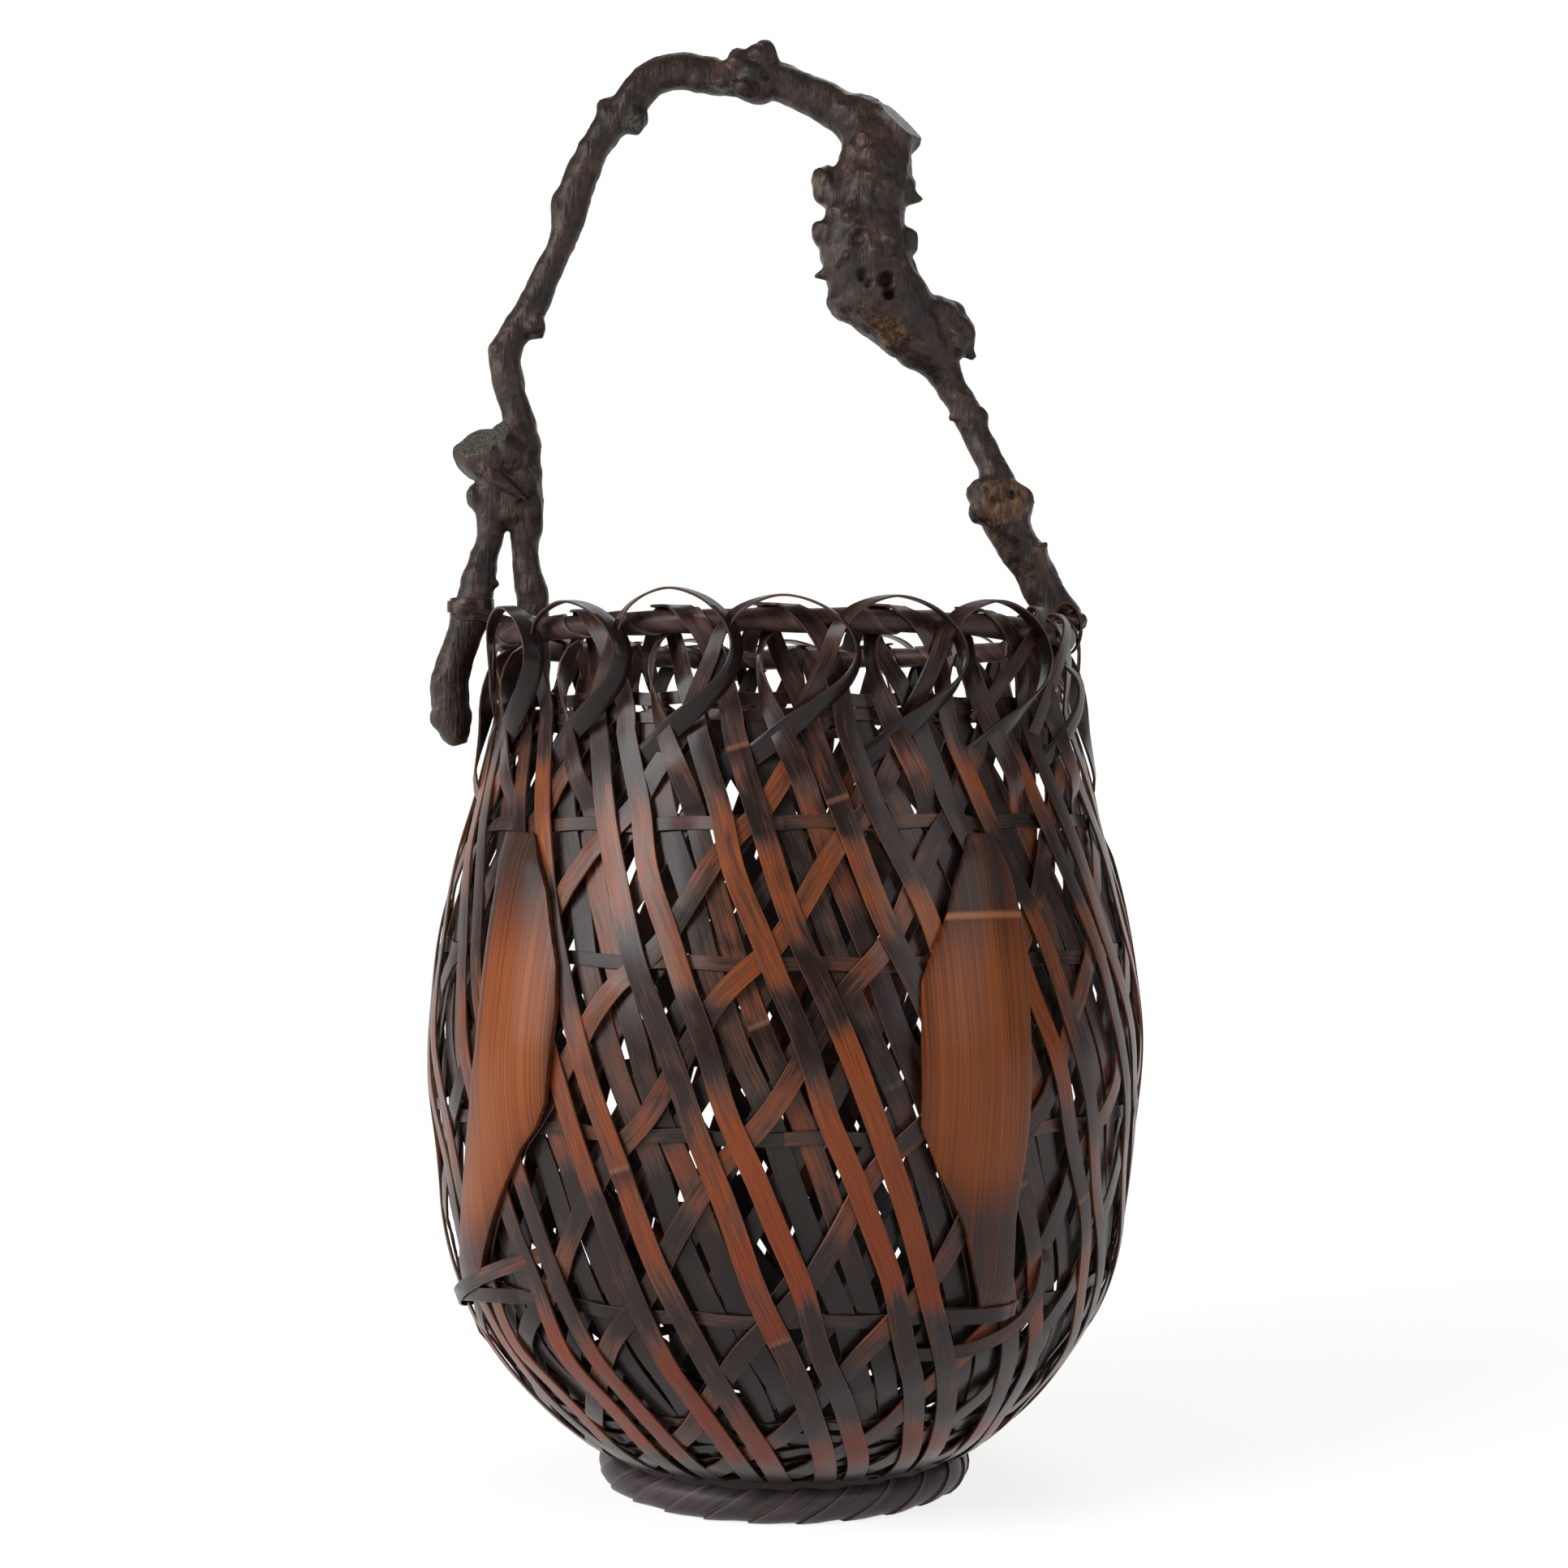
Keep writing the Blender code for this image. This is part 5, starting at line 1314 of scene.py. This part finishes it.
def weather(made):
    """Press the hollows in, flatten the sawn faces, mark sawn and torn wood, and keep inside the frame."""
    places = vertex_places(made.data)
    normals = np.empty(len(places) * 3)
    made.data.vertices.foreach_get("normal", normals)
    facing = normals[1::3] < 0.3
    for x, y, z, radius, depth in HOLLOWS:
        away = np.linalg.norm(places - np.array((x, y, z)) * MM, axis=1) / (radius * MM)
        places[:, 1] += depth * MM * np.where(away < 1.6, np.exp(-(away * 1.3) ** 4), 0) * facing
    sawn = np.zeros(len(places))
    for point, way, reach in SAWN_FACES:
        way = np.array(way) / np.linalg.norm(way)
        offset = places - np.array(point) * MM
        above = offset @ way
        beside = np.linalg.norm(offset - above[:, None] * way, axis=1)
        over = (above > -0.15 * MM) & (beside < reach * MM)
        places[over] -= above[over, None] * way
        sawn[over] = 1
    torn = np.zeros(len(places))
    for x, y, z, reach in TORN_WOOD:
        away = np.linalg.norm(places - np.array((x, y, z)) * MM, axis=1) / (reach * MM)
        torn = np.maximum(torn, 1 - ease(away, 0.5, 1.1))
    low, high = np.array(cad_box)
    set_places(made.data, np.clip(places, low + 0.05 * MM, high - 0.05 * MM))
    set_attribute(made.data, "sawn", sawn)
    set_attribute(made.data, "torn", torn)


# A strip folded over the hoop before the handle's right leg, with the columns of the ways over the rim
HANDLE_FOLD = (
    (51.5, 224.0, 90.2, 0), (54.3, 233.0, 91.4, 0), (57.5, 243.0, 92.8, 0), (61.0, 252.0, 93.2, 0),
    (64.0, 258.6, 92.0, 20), (66.0, 262.2, 87.6, 80), (67.2, 260.6, 82.6, 140), (68.0, 256.0, 80.6, 180),
    (68.6, 246.0, 80.2, 180),
)


class BASKET_OT_lashings(bpy.types.Operator):
    """Straps round the branch's legs, and the strips folded over its right foot"""
    bl_idname = "basket.lashings"
    bl_label = "Lashings"

    def execute(self, context):
        dice = seeded(context, 200)
        template = flat_strip("strap_template", STRAP_STEPS, 5.2 * MM, 0.7 * MM, crown=0.1 * MM)
        material = smoked_strips()
        wide_band = oval((-96.3, 1.7), (-96.3, 1.7), 6.9, 6.9, 266.2, 0)
        tie = oval((-77.4, 4.2), (-97.0, 1.7), 5.6, 7.0, 262.9, -2.6)
        straps = [ring_strip(template, wide_band, 1.35, dice, tone=-0.05),
                  ring_strip(template, tie, 0.68, dice)]
        finish_piece(join(straps, "left_strap"), material, "winding_bamboo", "lashing_left")
        radius = RIM_HOOP[0]
        turn = np.linspace(0, TURN, STRAP_STEPS + 1)
        for word, side in (("front", -1), ("rear", 1)):
            angle = math.radians(90 + side * 6.8)
            points = np.stack([radius * np.sin(angle) + 5.2 * MM * np.cos(turn),
                               np.full(len(turn), -radius * np.cos(angle)),
                               259.4 * MM + 8.2 * MM * np.sin(turn)], axis=1)
            strap = ring_strip(template, points, 1.0, dice, axis=(0, -1, 0))
            finish_piece(join([strap], f"toe_strap_{word}"), material, "winding_bamboo",
                         f"lashing_right_{word}")
        points, outward = over_rim(rim_rows(HANDLE_FOLD), 8)
        place, length = follow(points, outward)
        fold = lay_strip(template, "fold", place, length, dice, 0.3)
        finish_piece(join([fold], "folded_strip"), material, "amber_bamboo")
        remove(template)
        return {"FINISHED"}


def oval(first, second, radius_first, radius_second, height, tilt):
    """A closed line, in metres, pulled round two legs: their places and radii are in mm."""
    first, second = np.array(first), np.array(second)
    lean = math.atan2(*(second - first)[::-1])
    rows = []
    for middle, radius, side in ((first, radius_first, 1), (second, radius_second, -1)):
        start = lean + side * math.pi / 2
        for angle in np.linspace(start, start + math.pi, 24, endpoint=False):
            rows.append((*(middle + radius * np.array([math.cos(angle), math.sin(angle)])), height))
    rows = np.array(rows + rows[:1])
    rows[:, 2] += tilt * (rows[:, 0] - (first[0] + second[0]) / 2) / 10
    return rows * MM


def ring_strip(template, points, width, dice, axis=(0, 0, 1), tone=0.0):
    """A flat strip round a closed line, its face turned away from the line's middle."""
    tangent = unit(np.gradient(points, axis=0))
    outward = np.cross(tangent, np.array(axis, float))
    if np.mean(np.sum(outward * (points - points.mean(axis=0)), axis=1)) < 0:
        outward = -outward
    place, length = follow(points, unit(outward), np.full(len(points), width))
    return lay_strip(template, "strap", place, length, dice, 0.4, toning=lambda share: tone)


# The floor runs 2.5 m before the basket and 2 m behind it, and bends up in a round of 1.2 m
FLOOR_LENGTH, FLOOR_WIDTH, FLOOR_FRONT, FLOOR_BEND, FLOOR_ROUND = 7.0, 9, 2.5, 2.0, 1.2
# Lamps in metres and watts: (name, place, height that it looks at, size, power)
LAMPS = (
    ("key_lamp", (-1.35, -1.15, 1.0), 0.2, 0.9, 21.0), ("side_lamp", (-1.5, -0.45, 0.55), 0.15, 0.7, 6.5),
    ("fill_lamp", (1.4, -1.2, 0.9), 0.2, 1.2, 8.5), ("back_lamp", (0.3, 1.2, 1.6), 0.25, 1.0, 6.0),
)


class BASKET_OT_stage(bpy.types.Operator):
    """Floor, backdrop, soft studio lamps and the camera"""
    bl_idname = "basket.stage"
    bl_label = "Stage"

    def execute(self, context):
        deselect()
        bpy.ops.mesh.primitive_grid_add(x_subdivisions=2, y_subdivisions=48, size=1)
        floor = bpy.context.object
        floor.name = "studio_floor"
        flat = vertex_places(floor.data)
        run = (flat[:, 1] + 0.5) * FLOOR_LENGTH - FLOOR_FRONT
        turn = np.clip((run - FLOOR_BEND) / FLOOR_ROUND, 0, TURN / 4)
        depth = np.minimum(run, FLOOR_BEND) + FLOOR_ROUND * np.sin(turn)
        upright = np.maximum(run - FLOOR_BEND - FLOOR_ROUND * TURN / 4, 0)
        height = FLOOR_ROUND * (1 - np.cos(turn)) + upright
        set_places(floor.data, np.stack([flat[:, 0] * FLOOR_WIDTH, depth, height], axis=1))
        floor.data.materials.append(studio_paper(context.scene.basket_look.floor[:]))
        context.scene.world = studio_world()

        for name, place, aim, size, power in LAMPS:
            lamp = bpy.data.lights.new(name, "AREA")
            lamp.shape = "SQUARE"
            lamp.size = size
            lamp.energy = power
            made = bpy.data.objects.new(name, lamp)
            context.scene.collection.objects.link(made)
            made.location = place
            way = Vector((0, 0, aim)) - Vector(place)
            made.rotation_euler = way.to_track_quat("-Z", "Y").to_euler()

        camera = bpy.data.cameras.new("camera")
        camera.sensor_width = 36
        camera.lens = 55.9
        camera.shift_y = 0.0176
        camera.clip_start = 0.05
        camera.clip_end = 50
        made = bpy.data.objects.new("camera", camera)
        context.scene.collection.objects.link(made)
        made.location = (0, -0.750, 0.204)
        made.rotation_euler = (math.radians(90), 0, 0)
        context.scene.camera = made
        context.scene.view_settings.view_transform = "Standard"
        return {"FINISHED"}


def rays(tree, *kinds):
    """1 for rays of these kinds, and 0 for the others."""
    path = node(tree, "ShaderNodeLightPath")
    seen = path.outputs[kinds[0]]
    for kind in kinds[1:]:
        seen = node(tree, "ShaderNodeMath", {0: seen, 1: path.outputs[kind]}, operation="MAXIMUM").outputs[0]
    return seen


def studio_paper(colour):
    """Matt paper that takes the basket's shadow. It glows a little more away from the basket, and
    only for the camera and for what shows or mirrors it, so that it looks pale and evenly lit."""
    material, tree = new_material("Studio floor, matt paper")
    diffuse = node(tree, "ShaderNodeBsdfDiffuse", {0: colour})
    away = node(tree, "ShaderNodeTexCoord").outputs["Object"]
    away = node(tree, "ShaderNodeVectorMath", {0: away}, operation="LENGTH").outputs["Value"]
    strength = node(tree, "ShaderNodeMapRange", {
        "Value": away, "From Min": 0.3, "From Max": 2.2, "To Min": 0.78, "To Max": 0.90}).outputs[0]
    glow = node(tree, "ShaderNodeEmission", {0: (1, 1, 1, 1), 1: strength})
    seen = rays(tree, "Is Camera Ray", "Is Glossy Ray", "Is Transmission Ray")
    lit = node(tree, "ShaderNodeAddShader", {0: diffuse.outputs[0], 1: glow.outputs[0]})
    mixed = node(tree, "ShaderNodeMixShader", {0: seen, 1: diffuse.outputs[0], 2: lit.outputs[0]})
    node(tree, "ShaderNodeOutputMaterial", {0: mixed.outputs[0]})
    return material


def studio_world():
    """White where it is seen, and a faint even light on the basket."""
    world = bpy.data.worlds.new("Studio")
    world.use_nodes = True
    tree = world.node_tree
    tree.nodes.clear()
    seen = rays(tree, "Is Camera Ray", "Is Transmission Ray")
    strength = node(tree, "ShaderNodeMapRange", {"Value": seen, "To Min": 0.20, "To Max": 1.0}).outputs[0]
    light = node(tree, "ShaderNodeBackground", {0: (1, 1, 1, 1), 1: strength})
    node(tree, "ShaderNodeOutputWorld", {0: light.outputs[0]})
    return world


class BASKET_PT_panel(bpy.types.Panel):
    """Sizes, looks and one button for each group of pieces"""
    bl_label = "Ikebana basket"
    bl_idname = "BASKET_PT_panel"
    bl_space_type = "VIEW_3D"
    bl_region_type = "UI"
    bl_category = "Basket"

    def draw(self, context):
        for group in (context.scene.basket_sizes, context.scene.basket_look):
            for name in group.__annotations__:
                self.layout.prop(group, name)
        for step in STEPS:
            self.layout.operator(step.bl_idname)


STEPS = (
    BASKET_OT_stage, BASKET_OT_windings, BASKET_OT_base, BASKET_OT_hoops, BASKET_OT_inner_strips,
    BASKET_OT_rising_strips, BASKET_OT_outer_pairs, BASKET_OT_rim_loops, BASKET_OT_slats,
    BASKET_OT_branch, BASKET_OT_lashings,
)
CLASSES = (BasketSizes, BasketLook, *STEPS, BASKET_PT_panel)


def register():
    for made in CLASSES:
        bpy.utils.register_class(made)
    bpy.types.Scene.basket_sizes = bpy.props.PointerProperty(type=BasketSizes)
    bpy.types.Scene.basket_look = bpy.props.PointerProperty(type=BasketLook)


def unregister():
    del bpy.types.Scene.basket_look
    del bpy.types.Scene.basket_sizes
    for made in reversed(CLASSES):
        bpy.utils.unregister_class(made)


def main():
    """Build every piece."""
    register()
    for step in STEPS:
        group, name = step.bl_idname.split(".")
        getattr(getattr(bpy.ops, group), name)()


if __name__ == "__main__":
    main()
